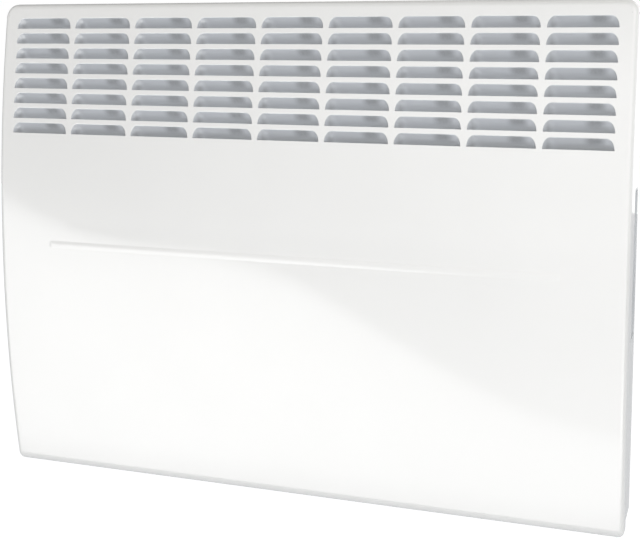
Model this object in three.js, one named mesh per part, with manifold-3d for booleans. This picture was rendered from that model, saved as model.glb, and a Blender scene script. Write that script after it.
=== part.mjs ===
// Wall panel convector heater. Millimetres, +Z up, the front looks towards -Y, the wall is the plane y = 0.
// The origin lies on the back face of the wall bracket's upper rail, half way along it.
import * as THREE from 'three';
import { mergeVertices } from 'three/addons/utils/BufferGeometryUtils.js';
import Module from 'manifold-3d';

const wasm = await Module();
wasm.setup();

// ---------------------------------------------------------------- driving dimensions

const clearance = 0.3; // between pieces that seat on each other
const sheet = 1; // casing sheet steel

// Front panel
const casingWidth = 592;
const casingHeight = 451;
const depthToCrown = 97; // from the wall to the front's furthest point
const bowRadius = 1250;
const crownHeight = 222; // height of the furthest point above the casing's bottom
const rollRadius = 5; // rolled edge at the sides and the top
const bottomRoll = 8; // height of the rolled edge along the bottom
const topCornerRadius = 12;
const bottomCornerRadius = 6;
const cornerSteps = 3; // facets round each corner
const frontFlangeBack = -64; // y of the front panel's flange edge
const flangeOverlap = 7; // how far the casing reaches inside that flange

// Louvres
const louvreColumns = 9;
const louvreRows = 8;
const louvreMargin = 12.275; // from the panel's side to the first column's share of it
const louvreGap = 5.05; // between neighbours in a row
const columnPitch = (casingWidth - 2 * louvreMargin) / louvreColumns;
const louvreWidth = columnPitch - louvreGap;
const louvreHeight = 10.2;
const rowPitch = 14.1;
const topMargin = 23.1; // from the panel's top to the lower edge of the top row
const topRowHeight = casingHeight - topMargin;
const louvreArc = 6.5; // width of each rounded upper corner
const louvreDepth = 7; // how far the lip is pressed in
const lipRun = 14; // length of the lip's curve at each end
const lipHeights = [0, 0.1, -0.6, -1]; // above the slot's lower edge, at each step of that curve
const louvreArcSteps = lipHeights.length - 1;
const scoopStages = [ // how far each ring has gone from rim to lip
  { along: 0, down: 0, inward: 0 },
  { along: 0.5, down: 0.36, inward: 0.6 },
  { along: 1, down: 1, inward: 1 },
];

// Pressed rib across the front
const ribHeight = 225.5;
const ribInset = 55; // from the panel's side to the rib's end
const ribLength = casingWidth - 2 * ribInset;
const ribWidth = 5.4;
const ribProud = 1.2;
const ribBevel = 1.6;

// Back casing
const wallGap = 18; // from the wall to the back sheet
const backRibHeights = [150, casingHeight - 121];
const backRibInset = 96; // from the panel's side to the rib's end
const backRibLength = casingWidth - 2 * backRibInset;
const backRibWidth = 12;
const backRibProud = 2.5;
const intakeCount = 25;
const intakePitch = 20;
const intakeWidth = 9;
const intakeLength = 34;
const intakeY = -47;
const intakeEndFlat = 1; // width of an intake slot's blunt end

// Side plates
const sideLip = 14; // lip that the back sheet is screwed to
const sideScrewHeights = [60, casingHeight - 51];

// Heating element
const elementY = -56;
const elementZ = 116;
const leftRoom = 74; // from the panel's left side to the fins
const rightRoom = 128; // from the fins to the panel's right side
const elementLeft = leftRoom - casingWidth / 2;
const elementRight = casingWidth / 2 - rightRoom;
const finReach = 29; // from the rod's axis to a fin's tip
const finThickness = 2;
const hubRadius = 7;
const rodRadius = 4.2;
const pinRadius = 1.6;
const pinLength = 9;
const supportOffset = 18; // from the fins' end to the support sheet
const supportSheet = 1.5;
const supportHeight = 44;
const supportDepth = 16; // in front of the rod's axis
const supportFoot = 14;
const bushRadius = 7;
const bushFlange = 9.5;
const bushLength = 12;
const bushShoulder = 3.3; // from the flange's face to the support sheet

// Air deflector
const deflectorFootZ = 74;
const deflectorStandoff = 11; // from the back sheet to the deflector's upright wall
const deflectorFoot = 12;
const deflectorBend = 90; // radius of the forward curve at the top
const deflectorSweep = 0.96; // radians that the curve turns through
const deflectorScrewPositions = [elementLeft + 32, elementRight - 72];
const cutoutX = elementRight - 108;
const cutoutZ = elementZ + 94;
const cutoutRadius = 8;
const cutoutDepth = 9;
const cutoutEars = 30; // length of its mounting plate
const bladeWidth = 6.3;
const bladeThickness = 0.8;
const bladeReach = 8;

// Control space
const partitionFoot = 12;
const partitionFootInset = 20; // from the ends of the partition's back edge
const partitionNose = 14; // height of the chamfered corners at the front
const controlY = -43;
const controlZ = 228;
const bezelWidth = 38;
const bezelHeight = 130;
const bezelRadius = 6;
const bezelFlange = 3;
const bezelFlangeThickness = 1.7;
const bezelWall = 1.6;
const recessDepth = 14;
const bezelFloor = 2;
const knobZ = controlZ + 30;
const knobRadius = 15;
const knobSkirt = 4;
const knobGrip = 8.5;
const knobGripWidth = 8;
const knobTurnStart = 135; // degrees from straight up to the lowest setting
const shaftRadius = 3;
const potBodyRadius = 8.5;
const potNeckRadius = 4.4;
const potBodyDepth = 7;
const switchZ = controlZ - 32;
const rockerTilt = 8; // degrees each way from level
const rockerWidth = 10;
const rockerLength = 16;
const rockerPinRadius = 1;
const rockerGap = 0.4;
const rockerDish = 4.4; // from the pivot to the key's hollow
const rockerRoot = 4; // from the pivot to the key's back
const rockerRise = 6.4; // from the pivot to the key's raised ends
const switchWall = 1.8;
const switchFlange = 1.6; // how far its flange passes the body
const switchProud = 1.2; // thickness of that flange
const lensZ = controlZ - 6;
const lensRadius = 2.5;
const lensCollar = 1.2;
const boardDepth = 30.3; // from the side plate's face to the board's inner face
const boardThickness = 1.6;
const boardWidth = 33;
const boardHeight = 124;
const postSpreadY = 13;
const postSpreadZ = 57;
const postPilot = 7;
const postRadius = 3;
const boardScrewRadius = 1.1;
const relaySize = { x: 16, y: 15, z: 22 };
const relayZ = controlZ + 31; // the relay's middle
const terminalSize = { x: 16, y: 26, z: 12 };
const terminalBottom = controlZ - 54;
const terminalPitch = 8;
const terminalWell = 8;

// Wall bracket
const bracketSheet = 1.5;
const uprightInset = 166; // from the panel's side to an upright's axis
const uprightSpacing = casingWidth - 2 * uprightInset;
const uprightWidth = 30;
const uprightBottom = 52;
const uprightTop = casingHeight - 33;
const hookZ = 58; // underside of the lower hook's tongue
const hookReach = 23;
const hookTip = 8;
const hookWidth = 22;
const wallFixingHeights = [92, casingHeight - 79];
const wallFixingWidth = 7;
const wallFixingLength = 12;
const bracketPassage = 2; // room round a hook in the back sheet's opening
const lockShelfZ = casingHeight - 47;
const lockAxisY = -8.5;
const lockShelfRim = 6; // from the stem's axis to the shelf's front edge
const lockReach = 13.5;
const lockArmWidth = 6;
const lockArmThickness = 2;
const lockStemRadius = 2.5;
const lockHeadRadius = 5;
const lockHeadHeight = 3;
const lockSlot = 1.2; // width and depth of the screwdriver slot
const railHeight = 30;
const upperRailZ = casingHeight - 121;
const lowerRailZ = 130;

// Fasteners and inlet
const screwHeadRadius = 3.4;
const screwHeadHeight = 2;
const screwShankRadius = 1.6;
const screwLength = 6;
const countersinkRadius = 2.8;
const countersinkDepth = 1.2;
const frontScrewY = -68;
const frontScrewInset = 56; // from the panel's side to the outermost screw
const frontScrewPitch = (casingWidth - 2 * frontScrewInset) / 3;
const frontScrewPositions = [-1.5, -0.5, 0.5, 1.5].map((i) => i * frontScrewPitch);
const grommetFromSide = 44.7;
const grommetZ = 64;
const grommetHole = 8; // radius
const grommetBead = 2.7; // thickness of its outer flange
const grommetWeb = 1.2; // thickness of the skin that closes it
const sensorFromSide = 32.7;
const sensorLength = 16;
const sensorRadius = 2.5;
const sensorFoot = 6;
const leadRadius = 1.5;
const leadHoleRadius = 3.75;

// ---------------------------------------------------------------- planes shared by several pieces

const halfWidth = casingWidth / 2;
const backOuter = -wallGap;
const backInner = backOuter - sheet;
const lipBack = backInner - clearance; // pieces that seat on the inside of the back sheet
const topUnderside = casingHeight - 2 * sheet - clearance;
const bottomTop = 2 * sheet + clearance;
const sideOuter = halfWidth - sheet - clearance;
const sideInner = sideOuter - sheet;
const casingFront = frontFlangeBack - flangeOverlap;
const casingTop = casingHeight - sheet - clearance;
const casingBottom = sheet + clearance;
const casingTopRadius = topCornerRadius - sheet - clearance;
const casingBottomRadius = bottomCornerRadius - sheet - clearance;
const recessFloor = sideOuter - recessDepth;
const floorUnderside = recessFloor - bezelFloor;
const boardX = sideOuter - boardDepth;
const boardOuter = boardX + boardThickness;
const grommetX = sideOuter - grommetFromSide;
const sensorX = sideOuter - sensorFromSide;

const frontY = (z) => bowRadius - depthToCrown - Math.sqrt(bowRadius ** 2 - (z - crownHeight) ** 2);

// ---------------------------------------------------------------- materials

function finish(color, roughness, metalness) {
  return new THREE.MeshStandardMaterial({ color, roughness, metalness });
}

const enamel = finish(0xf4f5f6, 0.25, 0);
const galvanised = finish(0xb9bdc0, 0.45, 0.9);
const aluminium = finish(0xc9ccce, 0.35, 1);
const plainSteel = finish(0x8f9396, 0.4, 1);
const steatite = finish(0xe9e2d2, 0.7, 0);
const whitePlastic = finish(0xeceded, 0.45, 0);
const blackPlastic = finish(0x1d1f21, 0.5, 0);
const blackRubber = finish(0x202122, 0.85, 0);
const boardGreen = finish(0x2c6a45, 0.5, 0);
const amberLens = finish(0xe8862a, 0.15, 0);
const siliconeSleeve = finish(0xdedad0, 0.6, 0);

const heater = new THREE.Group();
heater.position.z = -upperRailZ;

// ---------------------------------------------------------------- geometry helpers

function welded(geometry) {
  const bare = new THREE.BufferGeometry();
  bare.setAttribute('position', geometry.getAttribute('position').clone());
  if (geometry.index) bare.setIndex(geometry.index.clone());
  const merged = mergeVertices(bare, 1e-4);
  const corners = merged.index.array;
  const kept = [];
  for (let i = 0; i < corners.length; i += 3) {
    const [a, b, c] = [corners[i], corners[i + 1], corners[i + 2]];
    if (a !== b && b !== c && c !== a) kept.push(a, b, c);
  }
  merged.setIndex(kept);
  return merged;
}

function solid(geometry) {
  const closed = welded(geometry);
  const vertProperties = new Float32Array(closed.getAttribute('position').array);
  const triVerts = new Uint32Array(closed.index.array);
  return new wasm.Manifold(new wasm.Mesh({ numProp: 3, vertProperties, triVerts }));
}

function surface(body) {
  const mesh = body.getMesh();
  const geometry = new THREE.BufferGeometry();
  geometry.setAttribute('position', new THREE.BufferAttribute(mesh.vertProperties, 3));
  geometry.setIndex([...mesh.triVerts]);
  return geometry;
}

function addPiece(name, geometry, material, parent = heater) {
  const closed = welded(geometry);
  closed.computeVertexNormals();
  const piece = new THREE.Mesh(closed, material);
  piece.name = name;
  parent.add(piece);
  return piece;
}

const unitX = new THREE.Vector3(1, 0, 0);
const unitY = new THREE.Vector3(0, 1, 0);
const unitZ = new THREE.Vector3(0, 0, 1);
const alongX = new THREE.Matrix4().makeBasis(unitY, unitZ, unitX);
const towardsFront = new THREE.Matrix4().makeBasis(unitX, unitZ, unitY.clone().negate());

// A (y, z) profile from x0 to x1.
function extrudeX(profile, x0, x1) {
  const geometry = new THREE.ExtrudeGeometry(profile, { depth: x1 - x0, bevelEnabled: false });
  return geometry.applyMatrix4(alongX).translate(x0, 0, 0);
}

// An (x, z) profile from yBack forward to yFront.
function extrudeY(profile, yBack, yFront) {
  const geometry = new THREE.ExtrudeGeometry(profile, { depth: yBack - yFront, bevelEnabled: false });
  return geometry.applyMatrix4(towardsFront).translate(0, yBack, 0);
}

// An (x, y) profile from z0 up to z1.
function extrudeZ(profile, z0, z1) {
  const geometry = new THREE.ExtrudeGeometry(profile, { depth: z1 - z0, bevelEnabled: false });
  return geometry.translate(0, 0, z0);
}

// A profile of [radius, distance] pairs turned about an axis that starts at a point.
function turned(pairs, segments, origin, direction) {
  const points = pairs.map(([radius, distance]) => new THREE.Vector2(radius, distance));
  const geometry = new THREE.LatheGeometry(points, segments);
  geometry.applyQuaternion(new THREE.Quaternion().setFromUnitVectors(unitY, direction));
  return geometry.translate(origin.x, origin.y, origin.z);
}

function outlineShape(pairs) {
  return new THREE.Shape(pairs.map(([u, v]) => new THREE.Vector2(u, v)));
}

// Points on an arc, from one angle in degrees to another.
function arc(u, v, radius, from, to, steps) {
  return Array.from({ length: steps + 1 }, (_, i) => {
    const turn = THREE.MathUtils.degToRad(THREE.MathUtils.lerp(from, to, i / steps));
    return [u + radius * Math.cos(turn), v + radius * Math.sin(turn)];
  });
}

function roundedRectangle(u, v, width, height, radius, steps = 3) {
  const [a, b] = [width / 2 - radius, height / 2 - radius];
  return outlineShape([
    ...arc(u + a, v - b, radius, -90, 0, steps),
    ...arc(u + a, v + b, radius, 0, 90, steps),
    ...arc(u - a, v + b, radius, 90, 180, steps),
    ...arc(u - a, v - b, radius, 180, 270, steps),
  ]);
}

function disc(u, v, radius, sides = 12) {
  return outlineShape(arc(u, v, radius, 0, 360, sides).slice(1));
}

function box(x0, x1, y0, y1, z0, z1) {
  const geometry = new THREE.BoxGeometry(x1 - x0, y1 - y0, z1 - z0);
  return geometry.translate((x0 + x1) / 2, (y0 + y1) / 2, (z0 + z1) / 2);
}

// The section of a folded sheet: the path is one face, the other lies to its left.
function foldedSheet(path, thickness) {
  const points = path.map(([u, v]) => new THREE.Vector2(u, v));
  const left = (a, b) => new THREE.Vector2(a.y - b.y, b.x - a.x).normalize();
  const offset = points.map((point, i) => {
    const before = i > 0 ? left(points[i - 1], point) : null;
    const after = i < points.length - 1 ? left(point, points[i + 1]) : null;
    const one = before ?? after;
    const two = after ?? before;
    const mitre = one.clone().add(two).normalize();
    return point.clone().addScaledVector(mitre, thickness / mitre.dot(one));
  });
  return new THREE.Shape([...points, ...offset.reverse()]);
}

function joined(...geometries) {
  return geometries.map(solid).reduce((whole, next) => whole.add(next));
}

function cut(body, ...tools) {
  return tools.map(solid).reduce((rest, tool) => rest.subtract(tool), body);
}

// The same piece on the other side of the plane x = 0.
function mirrored(geometry) {
  const flipped = welded(geometry).scale(-1, 1, 1);
  flipped.setIndex([...flipped.index.array].reverse());
  return flipped;
}

// Pan-head screws, one piece each: a seat is the point under the head, the shank runs in one direction.
function addPanScrews(name, seats, direction, headRadius, headHeight, shankRadius, length) {
  const profile = [
    [0, -headHeight], [headRadius, -headHeight], [headRadius, 0],
    [shankRadius, 0], [shankRadius, length], [0, length],
  ];
  seats.forEach((seat, i) => addPiece(`${name}_${i + 1}`, turned(profile, 8, seat, direction), plainSteel));
}

// ---------------------------------------------------------------- front panel

// Faces of one pressed sheet, gathered as loose triangles.
class SheetSurface {
  corners = [];

  triangle(a, b, c) {
    this.corners.push(...a, ...b, ...c);
  }

  quad(a, b, c, d) {
    this.triangle(a, b, c);
    this.triangle(a, c, d);
  }

  // A convex patch, counter-clockwise from the front, laid on one face of the sheet.
  patch(outline, lay, facesFront) {
    const points = outline.map((point) => lay(point));
    if (!facesFront) points.reverse();
    for (let i = 2; i < points.length; i++) this.triangle(points[0], points[i - 1], points[i]);
  }

  // The strip between two chains of points that both run from left to right.
  strip(lower, upper, lay, facesFront) {
    let [i, j] = [0, 0];
    while (i + 1 < lower.length || j + 1 < upper.length) {
      const lowerNext = i + 1 < lower.length ? lower[i + 1].x : Infinity;
      const upperNext = j + 1 < upper.length ? upper[j + 1].x : Infinity;
      if (lowerNext <= upperNext) {
        this.patch([lower[i], lower[i + 1], upper[j]], lay, facesFront);
        i += 1;
      } else {
        this.patch([lower[i], upper[j + 1], upper[j]], lay, facesFront);
        j += 1;
      }
    }
  }

  geometry() {
    const geometry = new THREE.BufferGeometry();
    geometry.setAttribute('position', new THREE.Float32BufferAttribute(this.corners, 3));
    return geometry;
  }
}

const onFront = (point, depth = 0) => [point.x, frontY(point.y) + depth, point.y];
const onBack = (point, depth = 0) => onFront(point, sheet + depth);

const bottomRowHeight = topRowHeight - (louvreRows - 1) * rowPitch;
const landHeight = rowPitch - louvreHeight;

// Heights at which the sheet's surface is divided, from the bottom roll to the top roll.
function faceLevels() {
  const levels = [];
  const rows = bottomRowHeight - landHeight / 2;
  const ribLow = ribHeight - ribWidth;
  const ribHigh = ribHeight + ribWidth;
  const lowest = bottomRoll + bottomCornerRadius;
  const lowerSteps = 6;
  const upperSteps = 3;
  for (let i = 0; i <= lowerSteps; i++) levels.push(THREE.MathUtils.lerp(lowest, ribLow, i / lowerSteps));
  for (let i = 0; i < upperSteps; i++) levels.push(THREE.MathUtils.lerp(ribHigh, rows, i / upperSteps));
  for (let row = 0; row <= louvreRows; row++) levels.push(rows + row * rowPitch);
  return levels;
}

// The panel's outline, counter-clockwise from the front, with a point on each side at every level.
function panelOutline(levels, sideInset, topInset, bottomInset, topRadius, bottomRadius) {
  const reach = halfWidth - sideInset;
  const points = [];
  const corner = (x, z, radius, startTurn) => {
    for (let i = 0; i <= cornerSteps; i++) {
      const turn = (startTurn + i / cornerSteps) * Math.PI / 2;
      points.push(new THREE.Vector2(x + radius * Math.cos(turn), z + radius * Math.sin(turn)));
    }
  };
  corner(-reach + bottomRadius, bottomInset + bottomRadius, bottomRadius, 2);
  corner(reach - bottomRadius, bottomInset + bottomRadius, bottomRadius, 3);
  for (const z of levels) points.push(new THREE.Vector2(reach, z));
  corner(reach - topRadius, casingHeight - topInset - topRadius, topRadius, 0);
  corner(-reach + topRadius, casingHeight - topInset - topRadius, topRadius, 1);
  for (const z of [...levels].reverse()) points.push(new THREE.Vector2(-reach, z));
  return points;
}

// One turn of the rolled edge: 0 is where it leaves the face, 1 where it meets the flange.
function rollRing(levels, turn, thickness) {
  const left = 1 - Math.sin(turn * Math.PI / 2);
  const fall = 1 - Math.cos(turn * Math.PI / 2);
  const sideInset = thickness + (rollRadius - thickness) * left;
  const bottomInset = thickness + (bottomRoll - thickness) * left;
  const topRadius = topCornerRadius - sideInset;
  const bottomRadius = Math.max(bottomCornerRadius - sideInset, 0.5);
  const outline = panelOutline(levels, sideInset, sideInset, bottomInset, topRadius, bottomRadius);
  const drop = thickness + (rollRadius - thickness) * fall;
  return outline.map((point) => onFront(point, drop));
}

function louvreRim(left, bottom, grow) {
  const quarter = [];
  for (let i = 0; i <= louvreArcSteps; i++) {
    const turn = (i / louvreArcSteps) * Math.PI / 2;
    const x = louvreArc - (louvreArc + grow) * Math.cos(turn);
    quarter.push(new THREE.Vector2(left + x, bottom + (louvreHeight + grow) * Math.sin(turn)));
  }
  const mirrored = quarter.map((point) => new THREE.Vector2(2 * left + louvreWidth - point.x, point.y));
  return [...quarter, ...mirrored.reverse()];
}

// The scoop that is pressed in from a louvre's curved edge, down to its free lip.
function addScoop(panel, left, bottom, rimFront, rimBack) {
  const last = rimFront.length - 1;
  const front = rimFront.map((rim, i) => {
    const step = Math.min(i, last - i, louvreArcSteps);
    const turn = (step / louvreArcSteps) * Math.PI / 2;
    const swell = Math.sin(turn);
    const run = lipRun * (1 - Math.cos(turn));
    const lipX = i <= last / 2 ? left + run : left + louvreWidth - run;
    const lipZ = bottom + lipHeights[step];
    return scoopStages.map(({ along, down, inward }) => new THREE.Vector3(
      THREE.MathUtils.lerp(rim.x, lipX, along),
      frontY(rim.y) + louvreDepth * swell * inward,
      THREE.MathUtils.lerp(rim.y, lipZ, down),
    ));
  });
  const back = front.map((line, i) => line.map((point, k) => {
    if (k === 0 || i === 0 || i === last) return new THREE.Vector3(...onBack(rimBack[i]));
    const across = front[i + 1][k].clone().sub(front[i - 1][k]);
    const inwards = front[i][Math.min(k + 1, 2)].clone().sub(front[i][k - 1]);
    return point.clone().addScaledVector(across.cross(inwards).normalize(), sheet);
  }));
  for (let i = 0; i < last; i++) {
    for (let k = 0; k < 2; k++) {
      panel.quad(front[i][k], front[i][k + 1], front[i + 1][k + 1], front[i + 1][k]);
      panel.quad(back[i][k], back[i + 1][k], back[i + 1][k + 1], back[i][k + 1]);
    }
    panel.quad(front[i][2], back[i][2], back[i + 1][2], front[i + 1][2]);
  }
  panel.quad(front[0][0], front[last][0], back[last][0], back[0][0]);
}

// The flat land round one louvre, out to the middle of the gaps to its neighbours.
function addLand(panel, tile, rim, lay, facesFront) {
  const [lowerLeft, lowerRight, upperRight, upperLeft] = tile;
  const last = rim.length - 1;
  const middle = (last - 1) / 2;
  panel.patch([lowerLeft, lowerRight, rim[last], rim[0]], lay, facesFront);
  panel.patch([upperLeft, lowerLeft, rim[0]], lay, facesFront);
  panel.patch([lowerRight, upperRight, rim[last]], lay, facesFront);
  for (let i = 0; i < middle; i++) {
    panel.patch([upperLeft, rim[i], rim[i + 1]], lay, facesFront);
    panel.patch([upperRight, rim[last - i - 1], rim[last - i]], lay, facesFront);
  }
  panel.patch([upperLeft, rim[middle], rim[middle + 1], upperRight], lay, facesFront);
}

function addRib(panel, band, lay, facesFront) {
  const base = [[-1, -1], [1, -1], [1, 1], [-1, 1]].map(([u, v]) => (
    new THREE.Vector2(u * ribLength / 2, ribHeight + v * ribWidth / 2)));
  const crest = base.map((point) => new THREE.Vector2(
    point.x - Math.sign(point.x) * ribBevel, point.y - Math.sign(point.y - ribHeight) * ribBevel));
  for (let i = 0; i < 4; i++) {
    const j = (i + 1) % 4;
    panel.patch([band[i], band[j], base[j], base[i]], lay, facesFront);
    const slope = [lay(base[i]), lay(base[j]), lay(crest[j], -ribProud), lay(crest[i], -ribProud)];
    panel.quad(...(facesFront ? slope : slope.reverse()));
  }
  panel.patch(crest, (point) => lay(point, -ribProud), facesFront);
}

function frontPanel() {
  const panel = new SheetSurface();
  const levels = faceLevels();
  const rollSteps = 3;
  const rings = [];
  for (let i = 0; i <= rollSteps; i++) rings.push(rollRing(levels, i / rollSteps, 0));
  rings.push(rings.at(-1).map(([x, , z]) => [x, frontFlangeBack, z]));
  const inner = [];
  for (let i = rollSteps; i >= 0; i--) inner.push(rollRing(levels, i / rollSteps, sheet));
  rings.push(inner[0].map(([x, , z]) => [x, frontFlangeBack, z]), ...inner);
  for (let r = 0; r + 1 < rings.length; r++) {
    rings[r].forEach((point, i) => {
      const next = (i + 1) % rings[r].length;
      panel.quad(point, rings[r + 1][i], rings[r + 1][next], rings[r][next]);
    });
  }

  const outline = rings[0].map(([x, , z]) => new THREE.Vector2(x, z));
  const cornerPoints = 2 * (cornerSteps + 1);
  const rightAt = (level) => outline[cornerPoints + level];
  const leftAt = (level) => outline[outline.length - 1 - level];
  const top = levels.length - 1;
  const firstRow = top - louvreRows;
  const ribLevel = levels.findIndex((z) => z > ribHeight) - 1;
  const columnEdge = (column) => (column - louvreColumns / 2) * columnPitch;
  const chainAt = (level) => {
    const chain = [leftAt(level)];
    for (let column = 0; level >= firstRow && column <= louvreColumns; column++) {
      chain.push(new THREE.Vector2(columnEdge(column), levels[level]));
    }
    return [...chain, rightAt(level)];
  };
  const lowerCorners = outline.slice(0, cornerPoints);
  const upperCorners = outline.slice(cornerPoints + levels.length, 2 * cornerPoints + levels.length).reverse();
  for (const facesFront of [true, false]) {
    const lay = facesFront ? onFront : onBack;
    panel.strip(lowerCorners, chainAt(0), lay, facesFront);
    panel.strip(chainAt(top), upperCorners, lay, facesFront);
    for (let level = 0; level < firstRow; level++) {
      if (level === ribLevel) {
        addRib(panel, [leftAt(level), rightAt(level), rightAt(level + 1), leftAt(level + 1)], lay, facesFront);
      } else {
        panel.strip(chainAt(level), chainAt(level + 1), lay, facesFront);
      }
    }
  }
  for (let row = 0; row < louvreRows; row++) {
    const lower = chainAt(firstRow + row);
    const upper = chainAt(firstRow + row + 1);
    const bottom = bottomRowHeight + row * rowPitch;
    const tile = (i) => [lower[i], lower[i + 1], upper[i + 1], upper[i]];
    for (let column = 0; column < louvreColumns; column++) {
      const left = columnEdge(column) + (columnPitch - louvreWidth) / 2;
      const rimFront = louvreRim(left, bottom, 0);
      const rimBack = louvreRim(left, bottom, 0.4 * sheet);
      addScoop(panel, left, bottom, rimFront, rimBack);
      addLand(panel, tile(column + 1), rimFront, onFront, true);
      addLand(panel, tile(column + 1), rimBack, onBack, false);
    }
    for (const margin of [tile(0), tile(louvreColumns + 1)]) {
      panel.patch(margin, onFront, true);
      panel.patch(margin, onBack, false);
    }
  }
  return panel.geometry();
}

const countersinkEdge = 0.1; // straight edge of the screw's head
const screwCone = (grow) => [
  [0, -countersinkEdge], [countersinkRadius + grow, -countersinkEdge], [countersinkRadius + grow, 0],
  [screwShankRadius + grow, countersinkDepth], [screwShankRadius + grow, screwLength], [0, screwLength],
];
const frontScrewPoints = frontScrewPositions.map((x) => new THREE.Vector3(x, frontScrewY, 0));
const frontScrewHoles = frontScrewPoints.map((point) => turned(screwCone(clearance), 8, point, unitZ));
addPiece('front_panel', surface(cut(solid(frontPanel()), ...frontScrewHoles)), enamel);
const frontScrew = [[0, 0], [countersinkRadius, 0], ...screwCone(0).slice(3)];
frontScrewPoints.forEach((point, i) => (
  addPiece(`front_screw_${i + 1}`, turned(frontScrew, 8, point, unitZ), plainSteel)));

// ---------------------------------------------------------------- casing

function acrossBack(x, z, radius, sides = 6) {
  return extrudeY(disc(x, z, radius, sides), backOuter + 1, lipBack - 3);
}

const sideScrewX = sideInner - sideLip / 2;
const supportPlaces = { left: elementLeft - supportOffset, right: elementRight + supportOffset };
const footScrewX = [supportPlaces.left - supportFoot / 2, supportPlaces.right + supportFoot / 2];
const partitionX = (louvreColumns / 2 - 1) * columnPitch - sheet / 2; // behind the land between two columns
const partitionScrewX = partitionX + sheet + partitionFoot / 2;
const backScrewPlaces = {
  casing_screw: sideScrewHeights.flatMap((z) => [[-sideScrewX, z], [sideScrewX, z]]),
  partition_screw: sideScrewHeights.map((z) => [partitionScrewX, z]),
  support_screw: footScrewX.flatMap((x) => (
    [-1, 1].map((side) => [x, elementZ + side * supportHeight / 3]))),
  deflector_screw: deflectorScrewPositions.map((x) => [x, deflectorFootZ + deflectorFoot / 2]),
};

function backScrewHoles(name) {
  return backScrewPlaces[name].map(([x, z]) => acrossBack(x, z, screwShankRadius + clearance));
}

const hookTop = hookZ + bracketSheet;
const lockArmTop = lockShelfZ - clearance;
const lockArmBottom = lockArmTop - lockArmThickness;

// Openings of the back sheet that the bracket's hooks and lock arms pass through.
function bracketOpenings(side) {
  const x = side * uprightSpacing / 2;
  const reach = hookWidth / 2 + bracketPassage;
  const lowest = hookZ - hookTip - bracketPassage;
  const hook = box(x - reach, x + reach, lipBack - 1, 0, lowest, hookTop + clearance);
  const outward = x + side * (lockArmWidth / 2 + bracketPassage);
  const inward = x - side * (lockReach + bracketPassage);
  const lock = box(Math.min(outward, inward), Math.max(outward, inward), lipBack - 1, 0,
    lockArmBottom - clearance, lockArmTop + clearance);
  return [hook, lock];
}

function backRib(z, base, crest, yBase, yCrest, length) {
  const outline = [
    [yBase, z + base / 2], [yCrest, z + crest / 2], [yCrest, z - crest / 2], [yBase, z - base / 2],
  ];
  return extrudeX(outlineShape(outline), -length / 2, length / 2);
}

// The casing's outline behind the front panel, from the middle of one side's bottom corner round to its top.
const rightEdge = (steps) => [
  ...arc(sideOuter - casingBottomRadius, casingBottom + casingBottomRadius, casingBottomRadius, -90, 0, steps),
  ...arc(sideOuter - casingTopRadius, casingTop - casingTopRadius, casingTopRadius, 0, 90, steps),
];

function backCasing() {
  const leftEdge = rightEdge(cornerSteps).map(([x, z]) => [-x, z]).reverse();
  const plate = extrudeY(outlineShape([...rightEdge(cornerSteps), ...leftEdge]), backOuter, backInner);
  const topReach = sideOuter - casingTopRadius - clearance;
  const bottomReach = sideOuter - casingBottomRadius - clearance;
  const crest = backRibWidth - 2 * backRibProud;
  const [ribRoot, ribCrest] = [backInner + sheet / 2, backInner - backRibProud];
  const ribs = backRibHeights.map((z) => backRib(z, backRibWidth, crest, ribRoot, ribCrest, backRibLength));
  const hollowLength = backRibLength - 2 * sheet;
  const hollows = backRibHeights.map((z) => (
    backRib(z, backRibWidth - sheet, crest - sheet, ribRoot + sheet, ribCrest + sheet, hollowLength)));
  const intakes = Array.from({ length: intakeCount }, (_, i) => {
    const x = (i - (intakeCount - 1) / 2) * intakePitch;
    const end = (intakeWidth - intakeEndFlat) / 2;
    return extrudeZ(roundedRectangle(x, intakeY, intakeWidth, intakeLength, end, 1), 0, bottomTop + 1);
  });
  const walls = joined(
    plate,
    box(-bottomReach, bottomReach, casingFront, backInner + sheet / 2, casingBottom, bottomTop),
    box(-topReach, topReach, casingFront, backInner + sheet / 2, topUnderside, casingTop),
    ...ribs,
  );
  const screwHoles = Object.keys(backScrewPlaces).flatMap(backScrewHoles);
  const inlet = acrossBack(grommetX, grommetZ, grommetHole, 16);
  const openings = [-1, 1].flatMap(bracketOpenings);
  return cut(walls, ...hollows, ...intakes, ...screwHoles, ...openings, inlet, ...frontScrewHoles);
}

addPiece('back_casing', surface(backCasing()), enamel);

// A side cheek: its edges turn in under the top and over the bottom, its back lip seats on the back sheet.
function sideCheek() {
  const cheek = extrudeY(foldedSheet(rightEdge(cornerSteps), sheet), lipBack, casingFront);
  const lip = box(sideInner - sideLip, sideInner + sheet / 2, lipBack - sheet, lipBack,
    casingBottom + 2 * casingTopRadius, casingTop - 2 * casingTopRadius);
  return joined(cheek, lip);
}

const bezelOutline = (grow, radius) => (
  roundedRectangle(controlY, controlZ, bezelWidth + 2 * grow, bezelHeight + 2 * grow, radius));
const controlWindow = extrudeX(bezelOutline(clearance, bezelRadius + clearance), sideInner - 1, sideOuter + 1);
const drilledCheek = cut(sideCheek(), ...backScrewHoles('casing_screw'));
addPiece('side_plate_right', surface(cut(drilledCheek, controlWindow)), enamel);
addPiece('side_plate_left', mirrored(surface(drilledCheek)), enamel);

const forward = unitY.clone().negate();
for (const [name, places] of Object.entries(backScrewPlaces)) {
  const seats = places.map(([x, z]) => new THREE.Vector3(x, backOuter + clearance, z));
  addPanScrews(name, seats, forward, screwHeadRadius, screwHeadHeight, screwShankRadius, screwLength);
}

// ---------------------------------------------------------------- heating element

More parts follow.
